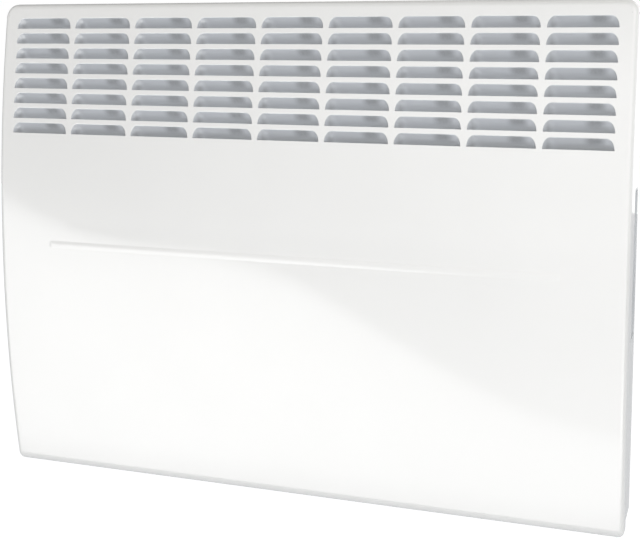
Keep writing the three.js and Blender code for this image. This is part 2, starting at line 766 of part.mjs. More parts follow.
function finProfile() {
  const points = [];
  const half = finThickness / 2;
  const bead = finThickness;
  const spread = THREE.MathUtils.radToDeg(Math.asin(half / hubRadius));
  for (let fin = 0; fin < 4; fin++) {
    const angle = 45 + 90 * fin;
    const along = new THREE.Vector2(1, 0).rotateAround(new THREE.Vector2(), THREE.MathUtils.degToRad(angle));
    const across = new THREE.Vector2(-along.y, along.x);
    const at = (reach, side) => (
      [elementY + along.x * reach + across.x * side, elementZ + along.y * reach + across.y * side]);
    points.push(
      at(finReach - 2 * bead, -half), at(finReach - bead, -bead), at(finReach, -bead),
      at(finReach, bead), at(finReach - bead, bead), at(finReach - 2 * bead, half),
      ...arc(elementY, elementZ, hubRadius, angle + spread, angle + 90 - spread, 4),
    );
  }
  return outlineShape(points);
}

const rodAxis = (x) => new THREE.Vector3(x, elementY, elementZ);
const finsBlank = solid(extrudeX(finProfile(), elementLeft, elementRight));
const rodBore = extrudeX(disc(elementY, elementZ, rodRadius + clearance), elementLeft - 1, elementRight + 1);
addPiece('heating_element_fins', surface(cut(finsBlank, rodBore)), aluminium);

const bushStart = { left: supportPlaces.left + bushShoulder, right: supportPlaces.right - bushShoulder };
const rodEnds = { left: bushStart.left - bushLength - 2, right: bushStart.right + bushLength + 2 };
const rodLength = rodEnds.right - rodEnds.left;
addPiece('heating_rod', turned([
  [0, -pinLength], [pinRadius, -pinLength], [pinRadius, 0], [rodRadius, 0],
  [rodRadius, rodLength], [pinRadius, rodLength],
  [pinRadius, rodLength + pinLength], [0, rodLength + pinLength],
], 12, rodAxis(rodEnds.left), unitX), plainSteel);

const bushProfile = [
  [rodRadius + clearance, 0], [bushFlange, 0], [bushFlange, bushShoulder - clearance],
  [bushRadius, bushShoulder - clearance], [bushRadius, bushLength],
  [rodRadius + clearance, bushLength], [rodRadius + clearance, 0],
];

function elementSupport(side) {
  const outward = side === 'left' ? -1 : 1;
  const x = supportPlaces[side];
  const span = (from, to) => [Math.min(from, to), Math.max(from, to)];
  const front = elementY - supportDepth;
  const outline = roundedRectangle((lipBack + front) / 2, elementZ, lipBack - front, supportHeight, 1, 1);
  const plate = extrudeX(outline, ...span(x, x + outward * supportSheet));
  const foot = box(...span(x, x + outward * supportFoot), lipBack - supportSheet, lipBack,
    elementZ - supportHeight / 2 + 1, elementZ + supportHeight / 2 - 1);
  const hole = extrudeX(disc(elementY, elementZ, bushRadius + clearance), x - 3, x + 3);
  return cut(joined(plate, foot), hole, ...backScrewHoles('support_screw'));
}

for (const side of ['left', 'right']) {
  const axis = side === 'left' ? unitX.clone().negate() : unitX;
  addPiece(`element_support_${side}`, surface(elementSupport(side)), galvanised);
  addPiece(`insulating_bush_${side}`, turned(bushProfile, 12, rodAxis(bushStart[side]), axis), steatite);
}

// ---------------------------------------------------------------- air deflector and overheat limiter

const deflectorBack = backInner - deflectorStandoff;
const deflectorFront = deflectorBack - sheet;

function deflectorPath() {
  const end = topUnderside - clearance;
  const bendZ = end - deflectorBend * Math.sin(deflectorSweep);
  const sweep = THREE.MathUtils.radToDeg(deflectorSweep);
  const bend = arc(deflectorBack - deflectorBend, bendZ, deflectorBend, 0, sweep, 8);
  return [
    [lipBack, deflectorFootZ], [lipBack, deflectorFootZ + deflectorFoot],
    [deflectorBack, deflectorFootZ + deflectorFoot + 1.5 * deflectorStandoff], ...bend,
  ];
}

const deflector = solid(extrudeX(foldedSheet(deflectorPath(), sheet), elementLeft, elementRight));
addPiece('air_deflector', surface(cut(deflector, ...backScrewHoles('deflector_screw'))), aluminium);

const cutoutSeat = deflectorFront - clearance;
const bladeY = cutoutSeat - cutoutDepth / 2;
const bladeSpan = cutoutRadius + bladeReach;
const cutoutFace = new THREE.Vector3(cutoutX, cutoutSeat, cutoutZ);
const limiter = joined(
  turned([
    [0, 0], [cutoutRadius, 0], [cutoutRadius, cutoutDepth - 1], [cutoutRadius - 1, cutoutDepth], [0, cutoutDepth],
  ], 16, cutoutFace, forward),
  box(cutoutX - bladeSpan, cutoutX + bladeSpan, bladeY - bladeThickness / 2, bladeY + bladeThickness / 2,
    cutoutZ - bladeWidth / 2, cutoutZ + bladeWidth / 2),
  extrudeY(roundedRectangle(cutoutX, cutoutZ, cutoutRadius, cutoutEars, cutoutRadius / 2 - 0.1, 2),
    cutoutSeat, cutoutSeat - sheet),
);
addPiece('thermal_cutout', surface(limiter), blackPlastic);

// ---------------------------------------------------------------- control partition

const leadHole = (y, z) => extrudeX(disc(y, z, leadHoleRadius, 8), partitionX - 1, partitionX + 2);
const rightLeadCrossing = [elementY, elementZ + 3];
const cutoutLeadCrossing = [controlY - 7, cutoutZ - 26];

function partition() {
  const bottom = bottomTop + clearance;
  const top = topUnderside - clearance;
  const steps = 10;
  const frontEdge = Array.from({ length: steps + 1 }, (_, i) => {
    const z = THREE.MathUtils.lerp(partitionNose, casingHeight - partitionNose, i / steps);
    return [frontY(z) + sheet + 1.5, z];
  });
  const outline = [
    [lipBack, top], [casingFront, top], ...frontEdge.reverse(), [casingFront, bottom], [lipBack, bottom],
  ];
  const wall = extrudeX(outlineShape(outline), partitionX, partitionX + sheet);
  const foot = box(partitionX, partitionX + sheet + partitionFoot, lipBack - sheet, lipBack,
    bottom + partitionFootInset, top - partitionFootInset);
  return cut(joined(wall, foot), leadHole(...rightLeadCrossing), leadHole(...cutoutLeadCrossing),
    ...backScrewHoles('partition_screw'));
}

addPiece('control_partition', surface(partition()), galvanised);

// ---------------------------------------------------------------- controls in the right side

const postPlaces = [-1, 1].flatMap((u) => (
  [-1, 1].map((v) => [controlY + u * postSpreadY, controlZ + v * postSpreadZ])));
const postBottom = boardOuter + clearance;
const switchHalf = { y: rockerWidth / 2 + switchWall, z: rockerLength / 2 + switchWall + rockerGap };
const switchOutline = (grow, radius) => (
  roundedRectangle(controlY, switchZ, 2 * (switchHalf.y + grow), 2 * (switchHalf.z + grow), radius, 2));
const rockerPivotX = recessFloor - 3.2;

function controlBezel() {
  const flangeFace = sideInner - clearance;
  const flangeBack = flangeFace - bezelFlangeThickness;
  const shell = joined(
    extrudeX(bezelOutline(0, bezelRadius), floorUnderside, sideOuter),
    extrudeX(bezelOutline(bezelFlange, bezelRadius + bezelFlange), flangeBack, flangeFace),
    ...postPlaces.map(([y, z]) => extrudeX(disc(y, z, postRadius, 8), postBottom, floorUnderside + 1)),
  );
  return cut(shell,
    extrudeX(bezelOutline(-bezelWall, bezelRadius - bezelWall), recessFloor, sideOuter + 1),
    extrudeX(disc(controlY, knobZ, potNeckRadius + clearance, 16), floorUnderside - 1, recessFloor + 1),
    extrudeX(disc(controlY, lensZ, lensRadius + clearance), floorUnderside - 1, recessFloor + 1),
    extrudeX(switchOutline(clearance, clearance), floorUnderside - 1, recessFloor + 1),
    ...postPlaces.map(([y, z]) => (
      extrudeX(disc(y, z, boardScrewRadius + clearance, 8), postBottom - 1, postBottom + postPilot))));
}

addPiece('control_bezel', surface(controlBezel()), whitePlastic);

const boardOutline = roundedRectangle(controlY, controlZ, boardWidth, boardHeight, 2, 2);
const board = solid(extrudeX(boardOutline, boardX, boardOuter));
const boardHoles = postPlaces.map(([y, z]) => (
  extrudeX(disc(y, z, boardScrewRadius + clearance, 8), boardX - 1, boardOuter + 1)));
addPiece('circuit_board', surface(cut(board, ...boardHoles)), boardGreen);
const boardScrewSeats = postPlaces.map(([y, z]) => new THREE.Vector3(boardX - clearance, y, z));
addPanScrews('board_screw', boardScrewSeats, unitX, 2 * boardScrewRadius, 1.5, boardScrewRadius,
  boardThickness + postPilot - 1);

// Thermostat: the knob and its shaft turn in the potentiometer.
const potBody = solid(turned([
  [0, 0], [potBodyRadius, 0], [potBodyRadius, potBodyDepth], [potNeckRadius, potBodyDepth],
  [potNeckRadius, recessFloor - 0.5 - postBottom], [0, recessFloor - 0.5 - postBottom],
], 16, new THREE.Vector3(postBottom, controlY, knobZ), unitX));
const shaftStart = postBottom + 2;
const potBore = extrudeX(disc(controlY, knobZ, shaftRadius + clearance), shaftStart, recessFloor + 1);
addPiece('potentiometer_body', surface(cut(potBody, potBore)), galvanised);

const knobBase = recessFloor + 0.5;
const knobBoreDepth = 8;
addPiece('potentiometer_shaft', extrudeX(disc(controlY, knobZ, shaftRadius),
  shaftStart + clearance, knobBase + knobBoreDepth - clearance), plainSteel);

// The knob is drawn about its own axis, pointing up, and set to the lowest mark.
function thermostatKnob() {
  const pointer = outlineShape([
    ...arc(0, knobGripWidth / 2 - knobRadius + 1, knobGripWidth / 2, 180, 360, 6),
    [knobGripWidth / 2, knobRadius - knobGripWidth], [0, knobRadius - 1],
    [-knobGripWidth / 2, knobRadius - knobGripWidth],
  ]);
  const skirt = turned([
    [0, 0], [knobRadius, 0], [knobRadius, knobSkirt - 1], [knobRadius - 1, knobSkirt], [0, knobSkirt],
  ], 32, new THREE.Vector3(), unitX);
  const grip = extrudeX(pointer, knobSkirt - 1, knobSkirt + knobGrip);
  const bore = extrudeX(disc(0, 0, shaftRadius + clearance), -1, knobBoreDepth);
  return cut(joined(skirt, grip), bore);
}

const knob = addPiece('thermostat_knob', surface(thermostatKnob()), whitePlastic);
knob.position.set(knobBase, controlY, knobZ);
knob.rotation.x = THREE.MathUtils.degToRad(knobTurnStart);

// Power switch: the rocker turns on two pins in the body's side walls.
const switchFlangeFace = recessFloor + clearance + switchProud;
const wellReach = rockerLength / 2 + rockerGap + 1;
const switchBody = joined(
  box(postBottom, switchFlangeFace, controlY - switchHalf.y, controlY + switchHalf.y,
    switchZ - switchHalf.z, switchZ + switchHalf.z),
  extrudeX(switchOutline(switchFlange, switchFlange), recessFloor + clearance, switchFlangeFace),
);
const switchWell = box(rockerPivotX - 6, switchFlangeFace + 1, controlY - rockerWidth / 2 - rockerGap,
  controlY + rockerWidth / 2 + rockerGap, switchZ - wellReach, switchZ + wellReach);
const pinHoleReach = switchHalf.y + 1;
const pinHoles = turned([
  [0, -pinHoleReach], [rockerPinRadius + clearance, -pinHoleReach],
  [rockerPinRadius + clearance, pinHoleReach], [0, pinHoleReach],
], 8, new THREE.Vector3(rockerPivotX, controlY, switchZ), unitY);
addPiece('switch_body', surface(cut(switchBody, switchWell, pinHoles)), blackPlastic);

function powerRocker() {
  const end = rockerLength / 2;
  const shoulder = rockerDish + 0.4;
  const upperHalf = [[-rockerRoot, end - 3], [0, end + 0.2], [rockerRise, end], [shoulder, end / 2]];
  const lowerHalf = upperHalf.map(([x, z]) => [x, -z]).reverse();
  const section = outlineShape([...upperHalf, [rockerDish, 0], ...lowerHalf].map(([x, z]) => [z, x]));
  const key = new THREE.ExtrudeGeometry(section, { depth: rockerWidth, bevelEnabled: false });
  key.applyMatrix4(new THREE.Matrix4().makeBasis(unitZ, unitX, unitY)).translate(0, -rockerWidth / 2, 0);
  const pinReach = switchHalf.y - 0.2;
  const pins = turned([
    [0, -pinReach], [rockerPinRadius, -pinReach], [rockerPinRadius, pinReach], [0, pinReach],
  ], 8, new THREE.Vector3(), unitY);
  return joined(key, pins);
}

const rocker = addPiece('power_rocker', surface(powerRocker()), blackPlastic);
rocker.position.set(rockerPivotX, controlY, switchZ);
rocker.rotation.y = THREE.MathUtils.degToRad(rockerTilt);

const lensSeat = floorUnderside - clearance - postBottom;
const lensFace = recessFloor - postBottom;
addPiece('indicator_lens', turned([
  [0, 0], [lensRadius, 0], [lensRadius, lensSeat - 2], [lensRadius + lensCollar, lensSeat - 2],
  [lensRadius + lensCollar, lensSeat], [lensRadius, lensSeat], [lensRadius, lensFace + 0.6],
  [lensRadius * 0.6, lensFace + 1.4], [0, lensFace + 1.7],
], 12, new THREE.Vector3(postBottom, controlY, lensZ), unitX), amberLens);

// What the board carries on its inner face.
const boardFace = boardX - clearance;
const onBoard = (size, bottom) => (
  box(boardFace - size.x, boardFace, controlY - size.y / 2, controlY + size.y / 2, bottom, bottom + size.z));
addPiece('control_relay', onBoard(relaySize, relayZ - relaySize.z / 2), blackPlastic);
const terminalX = boardFace - terminalSize.x / 2;
const terminalBlock = solid(onBoard(terminalSize, terminalBottom));
const terminalWells = [-1, 0, 1].map((i) => extrudeZ(
  disc(terminalX, controlY + i * terminalPitch, leadRadius + 2 * clearance, 8),
  terminalBottom - 1, terminalBottom + terminalWell));
addPiece('terminal_block', surface(cut(terminalBlock, ...terminalWells)), whitePlastic);

addPiece('room_sensor', turned([
  [0, 0], [sensorFoot, 0], [sensorFoot, 2], [sensorRadius, 2.6], [sensorRadius, sensorLength - 2],
  [sensorRadius - 1, sensorLength - 0.5], [0, sensorLength],
], 12, new THREE.Vector3(sensorX, controlY, bottomTop + clearance), unitZ), blackPlastic);

// Blind rubber inlet: its groove grips the edge of the hole in the back sheet.
const grommetBack = backOuter + clearance + grommetBead;
const grommetInside = grommetBead + sheet + 2 * clearance;
const grommetMouth = grommetHole - 3;
addPiece('cable_grommet', turned([
  [0, grommetBead + clearance], [grommetMouth, grommetBead + clearance], [grommetMouth + 0.6, 0],
  [grommetHole + 3, 0], [grommetHole + 3, grommetBead], [grommetHole - clearance, grommetBead],
  [grommetHole - clearance, grommetInside], [grommetHole + 2.5, grommetInside],
  [grommetHole + 1.5, grommetInside + grommetBead], [grommetMouth, grommetInside + grommetBead],
  [grommetMouth, grommetBead + clearance + grommetWeb], [0, grommetBead + clearance + grommetWeb],
], 12, new THREE.Vector3(grommetX, grommetBack, grommetZ), forward), blackRubber);

// ---------------------------------------------------------------- insulated leads

function lead(points, steps) {
  const path = new THREE.CatmullRomCurve3(points.map(([x, y, z]) => new THREE.Vector3(x, y, z)));
  const options = { steps, bevelEnabled: false, extrudePath: path };
  return new THREE.ExtrudeGeometry(disc(0, 0, leadRadius, 6), options);
}

const pinTip = { left: rodEnds.left - pinLength - clearance, right: rodEnds.right + pinLength + clearance };
const onDeflector = deflectorFront - clearance - leadRadius;
const bladeTip = bladeSpan + clearance;
const leadMiddle = (elementLeft / 2 + cutoutX - bladeTip) / 2;
const wellTop = terminalBottom + terminalWell - 2;
addPiece('element_lead_left', lead([
  [pinTip.left, elementY, elementZ], [pinTip.left - 5, elementY, elementZ + 1],
  [pinTip.left - 8, elementY + 5, elementZ + 14], [pinTip.left - 4, elementY + 14, (elementZ + cutoutZ) / 2],
  [elementLeft - 8, onDeflector - 2, cutoutZ - 10],
  [elementLeft + 22, onDeflector, cutoutZ - 1], [elementLeft / 2, onDeflector, cutoutZ],
  [leadMiddle, onDeflector, cutoutZ],
  [cutoutX - bladeTip - 14, onDeflector - 1.5, cutoutZ], [cutoutX - bladeTip, bladeY, cutoutZ],
], 28), siliconeSleeve);
addPiece('element_lead_right', lead([
  [pinTip.right, elementY, elementZ], [pinTip.right + 6, elementY, elementZ + 1],
  [partitionX, ...rightLeadCrossing],
  [partitionX + 14, elementY + 2, elementZ + 14], [terminalX - 4, controlY - 4, terminalBottom - 22],
  [terminalX, controlY, terminalBottom - 8], [terminalX, controlY, wellTop],
], 16), siliconeSleeve);
addPiece('cutout_lead', lead([
  [cutoutX + bladeTip, bladeY, cutoutZ], [cutoutX + bladeTip + 14, onDeflector - 1.5, cutoutZ],
  [elementRight - 30, onDeflector, cutoutZ - 2],
  [elementRight - 4, onDeflector - 3, cutoutZ - 6], [partitionX, ...cutoutLeadCrossing],
  [partitionX + 16, controlY - terminalPitch - 5, terminalBottom - 4],
  [terminalX - 8, controlY - terminalPitch - 2, terminalBottom - 14],
  [terminalX, controlY - terminalPitch, terminalBottom - 8], [terminalX, controlY - terminalPitch, wellTop],
], 22), siliconeSleeve);

// ---------------------------------------------------------------- wall bracket

function bracketUpright() {
  const axis = uprightSpacing / 2;
  const outer = axis + uprightWidth / 2;
  const seat = backOuter + clearance;
  const section = foldedSheet([[outer, seat], [outer, 0], [axis - uprightWidth / 2, 0]], bracketSheet);
  const channel = extrudeZ(section, uprightBottom, uprightTop);
  const tongues = (yFront, yBack, z0, z1) => (
    box(axis - hookWidth / 2, axis + hookWidth / 2, yFront, yBack, z0, z1));
  const hook = tongues(-hookReach, 0, hookZ, hookTop);
  const tip = tongues(-hookReach, bracketSheet - hookReach, hookZ, hookTop + hookTip);
  const shelf = tongues(lockAxisY - lockShelfRim, 0, lockShelfZ, lockShelfZ + bracketSheet);
  const slotEnd = wallFixingWidth / 2 - 0.1;
  const fixing = wallFixingHeights.map((z) => extrudeY(
    roundedRectangle(axis, z, wallFixingWidth, wallFixingLength, slotEnd), 1, -bracketSheet - 1));
  const stem = disc(axis, lockAxisY, lockStemRadius + clearance);
  const stemHole = extrudeZ(stem, lockShelfZ - 1, lockShelfZ + bracketSheet + 1);
  return cut(joined(channel, hook, tip, shelf), ...fixing, stemHole);
}

addPiece('bracket_upright_right', surface(bracketUpright()), galvanised);
addPiece('bracket_upright_left', mirrored(surface(bracketUpright())), galvanised);

const railReach = uprightSpacing / 2 - uprightWidth / 2 - clearance;
const rail = (z) => extrudeY(roundedRectangle(0, z, 2 * railReach, railHeight, 1, 1), 0, -bracketSheet);
addPiece('bracket_rail_upper', rail(upperRailZ), galvanised);
addPiece('bracket_rail_lower', rail(lowerRailZ), galvanised);

// A quarter-turn lock, drawn about its stem: slotted head, stem and arm in one piece.
function bracketLock() {
  const headBase = bracketSheet + clearance;
  const armTop = lockArmTop - lockShelfZ;
  const armBottom = lockArmBottom - lockShelfZ;
  const stem = turned([
    [0, armBottom], [lockStemRadius, armBottom], [lockStemRadius, headBase], [lockHeadRadius, headBase],
    [lockHeadRadius, headBase + lockHeadHeight], [0, headBase + lockHeadHeight],
  ], 12, new THREE.Vector3(), unitZ);
  const half = lockArmWidth / 2;
  const arm = extrudeZ(outlineShape([
    ...arc(0, 0, half, 0, 180, 6), [-half, 1 - lockReach], [1 - half, -lockReach], [half - 1, -lockReach],
    [half, 1 - lockReach],
  ]), armBottom, armTop);
  const headTop = headBase + lockHeadHeight;
  const slotReach = lockHeadRadius + 1;
  const slot = box(-slotReach, slotReach, -lockSlot / 2, lockSlot / 2, headTop - lockSlot, headTop + 1);
  return cut(joined(stem, arm), slot);
}

for (const [side, sign] of [['left', -1], ['right', 1]]) {
  const lock = addPiece(`bracket_lock_${side}`, surface(bracketLock()), plainSteel);
  lock.position.set(sign * uprightSpacing / 2, lockAxisY, lockShelfZ);
}

export default heater;
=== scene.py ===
import math

import bmesh
import bpy
from bpy.props import FloatProperty, FloatVectorProperty, IntProperty, PointerProperty
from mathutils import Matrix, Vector


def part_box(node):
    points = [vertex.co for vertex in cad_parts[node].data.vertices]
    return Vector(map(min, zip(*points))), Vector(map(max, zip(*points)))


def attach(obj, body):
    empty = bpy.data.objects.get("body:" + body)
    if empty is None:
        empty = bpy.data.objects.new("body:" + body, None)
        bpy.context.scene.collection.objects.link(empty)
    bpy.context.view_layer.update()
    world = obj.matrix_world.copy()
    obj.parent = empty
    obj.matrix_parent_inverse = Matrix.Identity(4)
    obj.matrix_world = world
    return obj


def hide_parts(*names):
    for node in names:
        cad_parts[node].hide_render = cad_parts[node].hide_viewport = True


bl_info = {
    "name": "Wall panel convector heater",
    "version": (1, 0, 0),
    "blender": (4, 5, 0),
    "location": "View3D > Sidebar > Heater",
    "description": "Builds the finishes, fine sheet work and stage of a wall panel convector heater",
    "category": "Object",
}

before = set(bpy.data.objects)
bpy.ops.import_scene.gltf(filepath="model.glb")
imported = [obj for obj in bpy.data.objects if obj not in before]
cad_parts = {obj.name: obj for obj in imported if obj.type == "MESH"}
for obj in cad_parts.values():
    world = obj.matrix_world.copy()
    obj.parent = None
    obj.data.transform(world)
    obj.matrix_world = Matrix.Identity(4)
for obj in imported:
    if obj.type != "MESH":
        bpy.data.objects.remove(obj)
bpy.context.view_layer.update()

MM = 0.001
BODY = "heater"
PANEL_LOW, PANEL_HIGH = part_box("front_panel")
CASING_FLOOR = PANEL_LOW.z  # heights below are measured from the casing's bottom edge


# ---------------------------------------------------------------- colours


def linear(hex_colour):
    """An sRGB hex colour as linear red, green, blue and alpha."""
    channels = [int(hex_colour[i:i + 2], 16) / 255 for i in (0, 2, 4)]
    return [c / 12.92 if c <= 0.04045 else ((c + 0.055) / 1.055) ** 2.4 for c in channels] + [1.0]


def colour_property(label, what, hex_colour):
    return FloatVectorProperty(
        name=label, description=what, subtype="COLOR", size=4, min=0, max=1, default=linear(hex_colour)
    )


def length_property(label, what, millimetres):
    return FloatProperty(name=label, description=what, unit="LENGTH", default=millimetres * MM, min=0)


def number_property(label, what, number, **kind):
    return FloatProperty(name=label, description=what, default=number, **kind)


# ---------------------------------------------------------------- settings


class HeaterPanelSettings(bpy.types.PropertyGroup):
    """Sizes of the pressed front panel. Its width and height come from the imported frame."""

    sheet: length_property("Sheet", "Thickness of the steel sheet", 1)
    bow_radius: length_property("Bow radius", "Radius that the front is bowed to, from top to bottom", 1250)
    crown_depth: length_property("Crown depth", "From the wall to the front's furthest point", 97)
    crown_height: length_property("Crown height", "Height of the furthest point above the bottom edge", 222)
    roll: length_property("Rolled edge", "Radius of the rolled edge at the sides and the top", 5)
    bottom_roll: length_property("Bottom roll", "Height of the rolled edge along the bottom", 8)
    top_corner: length_property("Top corners", "Radius of the two upper corners", 12)
    bottom_corner: length_property("Bottom corners", "Radius of the two lower corners", 6)
    columns: IntProperty(name="Louvre columns", description="Louvres in a row", default=9, min=1)
    rows: IntProperty(name="Louvre rows", description="Rows of louvres", default=8, min=1)
    column_pitch: length_property("Column pitch", "Distance between louvre columns", 63.05)
    row_pitch: length_property("Row pitch", "Distance between louvre rows", 14.1)
    louvre_width: length_property("Louvre width", "Width of one louvre's slot", 58)
    louvre_height: length_property("Louvre height", "Height of one louvre's slot", 10.2)
    louvre_corner: length_property("Louvre corners", "Width of a slot's rounded upper corner", 6.5)
    louvre_depth: length_property("Louvre depth", "How far a louvre's lip is pressed in", 7)
    top_margin: length_property("Top margin", "From the top edge down to the top row's lower edge", 23.1)
    rib_height: length_property("Rib height", "Height of the pressed rib above the bottom edge", 224)
    rib_length: length_property("Rib length", "Length of the pressed rib", 482)
    rib_width: length_property("Rib width", "Width of the pressed rib", 7)
    rib_proud: length_property("Rib proud", "How far the rib stands out", 0.5)


class HeaterFinishSettings(bpy.types.PropertyGroup):
    """Colours of the finishes."""

    enamel: colour_property("Enamel", "Baked enamel of the casing", "f6f5f2")
    # Painted shade: the blue-grey laid into the louvres, standing in for the shade inside them.
    louvre_painted_shade: colour_property("Thin enamel", "The same enamel where it lies thin in the louvres", "e3e6ea")
    zinc: colour_property("Zinc", "Hot-dip zinc on the bracket and supports", "b4b8ba")
    plating: colour_property("Plating", "Bright zinc plating on screws and locks", "a9acad")
    aluminium: colour_property("Aluminium", "Fins and air deflector", "e9eaeb")
    sheath: colour_property("Sheath", "Heat-tinted sheath of the heating rod", "77706a")
    steatite: colour_property("Steatite", "Pressed steatite bushes", "e6ddc9")
    knob: colour_property("Knob", "Moulded thermostat knob", "e9eaea")
    tray: colour_property("Tray", "Moulded control tray", "dfe1e2")
    black: colour_property("Black mouldings", "Switch, relay and sensor", "1c1d1f")
    rubber: colour_property("Rubber", "Inlet grommet", "1b1b1c")
    board: colour_property("Board", "Solder mask of the circuit board", "1f5a38")
    lens: colour_property("Lens", "Indicator lens", "f08a24")
    sleeve: colour_property("Sleeve", "Silicone sleeve of the leads", "dcd8cd")
    mark: colour_property("Marks", "Printed dial and switch marks", "34383c")


class HeaterStageSettings(bpy.types.PropertyGroup):
    """Camera, floor and lights."""

    lens: number_property("Lens", "Focal length", 67.5, subtype="DISTANCE_CAMERA")
    shift: number_property("Shift", "Vertical shift of the camera", -0.1531)
    yaw: number_property("Yaw", "Turn to the left", math.radians(19.54), subtype="ANGLE")
    pitch: number_property("Pitch", "Tilt down", math.radians(6.42), subtype="ANGLE")
    eye: FloatVectorProperty(
        name="Eye", description="Place of the camera", subtype="TRANSLATION", unit="LENGTH",
        default=(0.379, -1.074, 0.091),
    )
    floor_drop: length_property("Floor drop", "From the heater's bottom edge down to the floor", 600)
    key: number_property("Key", "Soft light from the upper right", 9, unit="POWER")
    low_fill: number_property("Low fill", "Soft light from below in front", 4, unit="POWER")
    front_sky: number_property("Front sky", "Even light from the room in front", 1.12)
    high_sky: number_property("High sky", "Share of that light left straight overhead", 0.35)
    back_left_sky: number_property("Back left sky", "Light from behind on the left", 0.05)
    back_right_sky: number_property("Back right sky", "Light from behind on the right", 1.3)
    card: number_property("Card", "Brightness of the white card that the panel mirrors", 3.6)


def panel_settings():
    return bpy.context.scene.heater_panel


def finish_settings():
    return bpy.context.scene.heater_finish


def stage_settings():
    return bpy.context.scene.heater_stage


# ---------------------------------------------------------------- materials


def add_node(tree, kind, settings=(), links=()):
    """Adds a node: lower-case settings are its properties, the others its sockets; links feed its sockets."""
    node = tree.nodes.new(kind)
    for name, value in dict(settings).items():
        if isinstance(name, str) and name.islower():
            setattr(node, name, value)
        else:
            node.inputs[name].default_value = value
    for name, output in dict(links).items():
        tree.links.new(output, node.inputs[name])
    return node


def empty_tree(owner):
    """The node tree of a material or a world, cleared."""
    owner.use_nodes = True
    owner.node_tree.nodes.clear()
    return owner.node_tree


def start_material(name, colour_name, **sockets):
    """Starts a material. Returns its tree, the surface and the colour in the settings."""
    tree = empty_tree(bpy.data.materials.new(name))
    surface = add_node(tree, "ShaderNodeBsdfPrincipled", {k.replace("_", " "): v for k, v in sockets.items()})
    add_node(tree, "ShaderNodeOutputMaterial", links={"Surface": surface.outputs[0]})
    return tree, surface, list(getattr(finish_settings(), colour_name))


def shade(colour, factor):
    return [channel * factor for channel in colour[:3]] + [1.0]


def grain(tree, pitch, stretch=(1, 1, 1), detail=2.0, roughness=0.5):
    """Noise of a real pitch in metres over the object's own place, elongated where stretch is below 1."""
    place = add_node(tree, "ShaderNodeTexCoord").outputs["Object"]
    place = add_node(tree, "ShaderNodeMapping", {"Scale": stretch}, {"Vector": place}).outputs[0]
    settings = {"Scale": 1 / pitch, "Detail": detail, "Roughness": roughness}
    return add_node(tree, "ShaderNodeTexNoise", settings, {"Vector": place}).outputs["Fac"]


def vary(tree, surface, factor, colours=None, band=(0.3, 0.7), gloss=None, depth=0.0, strength=1.0):
    """Varies a surface by a factor: its colour across the band, its roughness, its height by depth metres."""
    if colours:
        ramp = add_node(tree, "ShaderNodeValToRGB", links={"Fac": factor})
        for element, position, colour in zip(ramp.color_ramp.elements, band, colours):
            element.position = position
            element.color = colour
        tree.links.new(ramp.outputs["Color"], surface.inputs["Base Color"])
    if gloss:
        settings = {"To Min": gloss[0], "To Max": gloss[1]}
        rough = add_node(tree, "ShaderNodeMapRange", settings, {"Value": factor})
        tree.links.new(rough.outputs["Result"], surface.inputs["Roughness"])
    if depth:
        bump = add_node(tree, "ShaderNodeBump", {"Distance": depth, "Strength": strength}, {"Height": factor})
        tree.links.new(bump.outputs["Normal"], surface.inputs["Normal"])


def repeat_band(tree, place, start, pitch, middle, half, blur):
    """1 in a band that repeats every pitch from start. Its middle and half width are shares of the pitch."""
    away = place
    steps = ("SUBTRACT", start), ("DIVIDE", pitch), ("FRACT", 0), ("SUBTRACT", middle), ("ABSOLUTE", 0)
    for operation, value in steps:
        away = add_node(tree, "ShaderNodeMath", {"operation": operation, 1: value}, {0: away}).outputs[0]
    settings = {"interpolation_type": "SMOOTHSTEP", "From Min": half - blur, "From Max": half + blur,
                "To Min": 1.0, "To Max": 0.0}
    return add_node(tree, "ShaderNodeMapRange", settings, {"Value": away}).outputs["Result"]


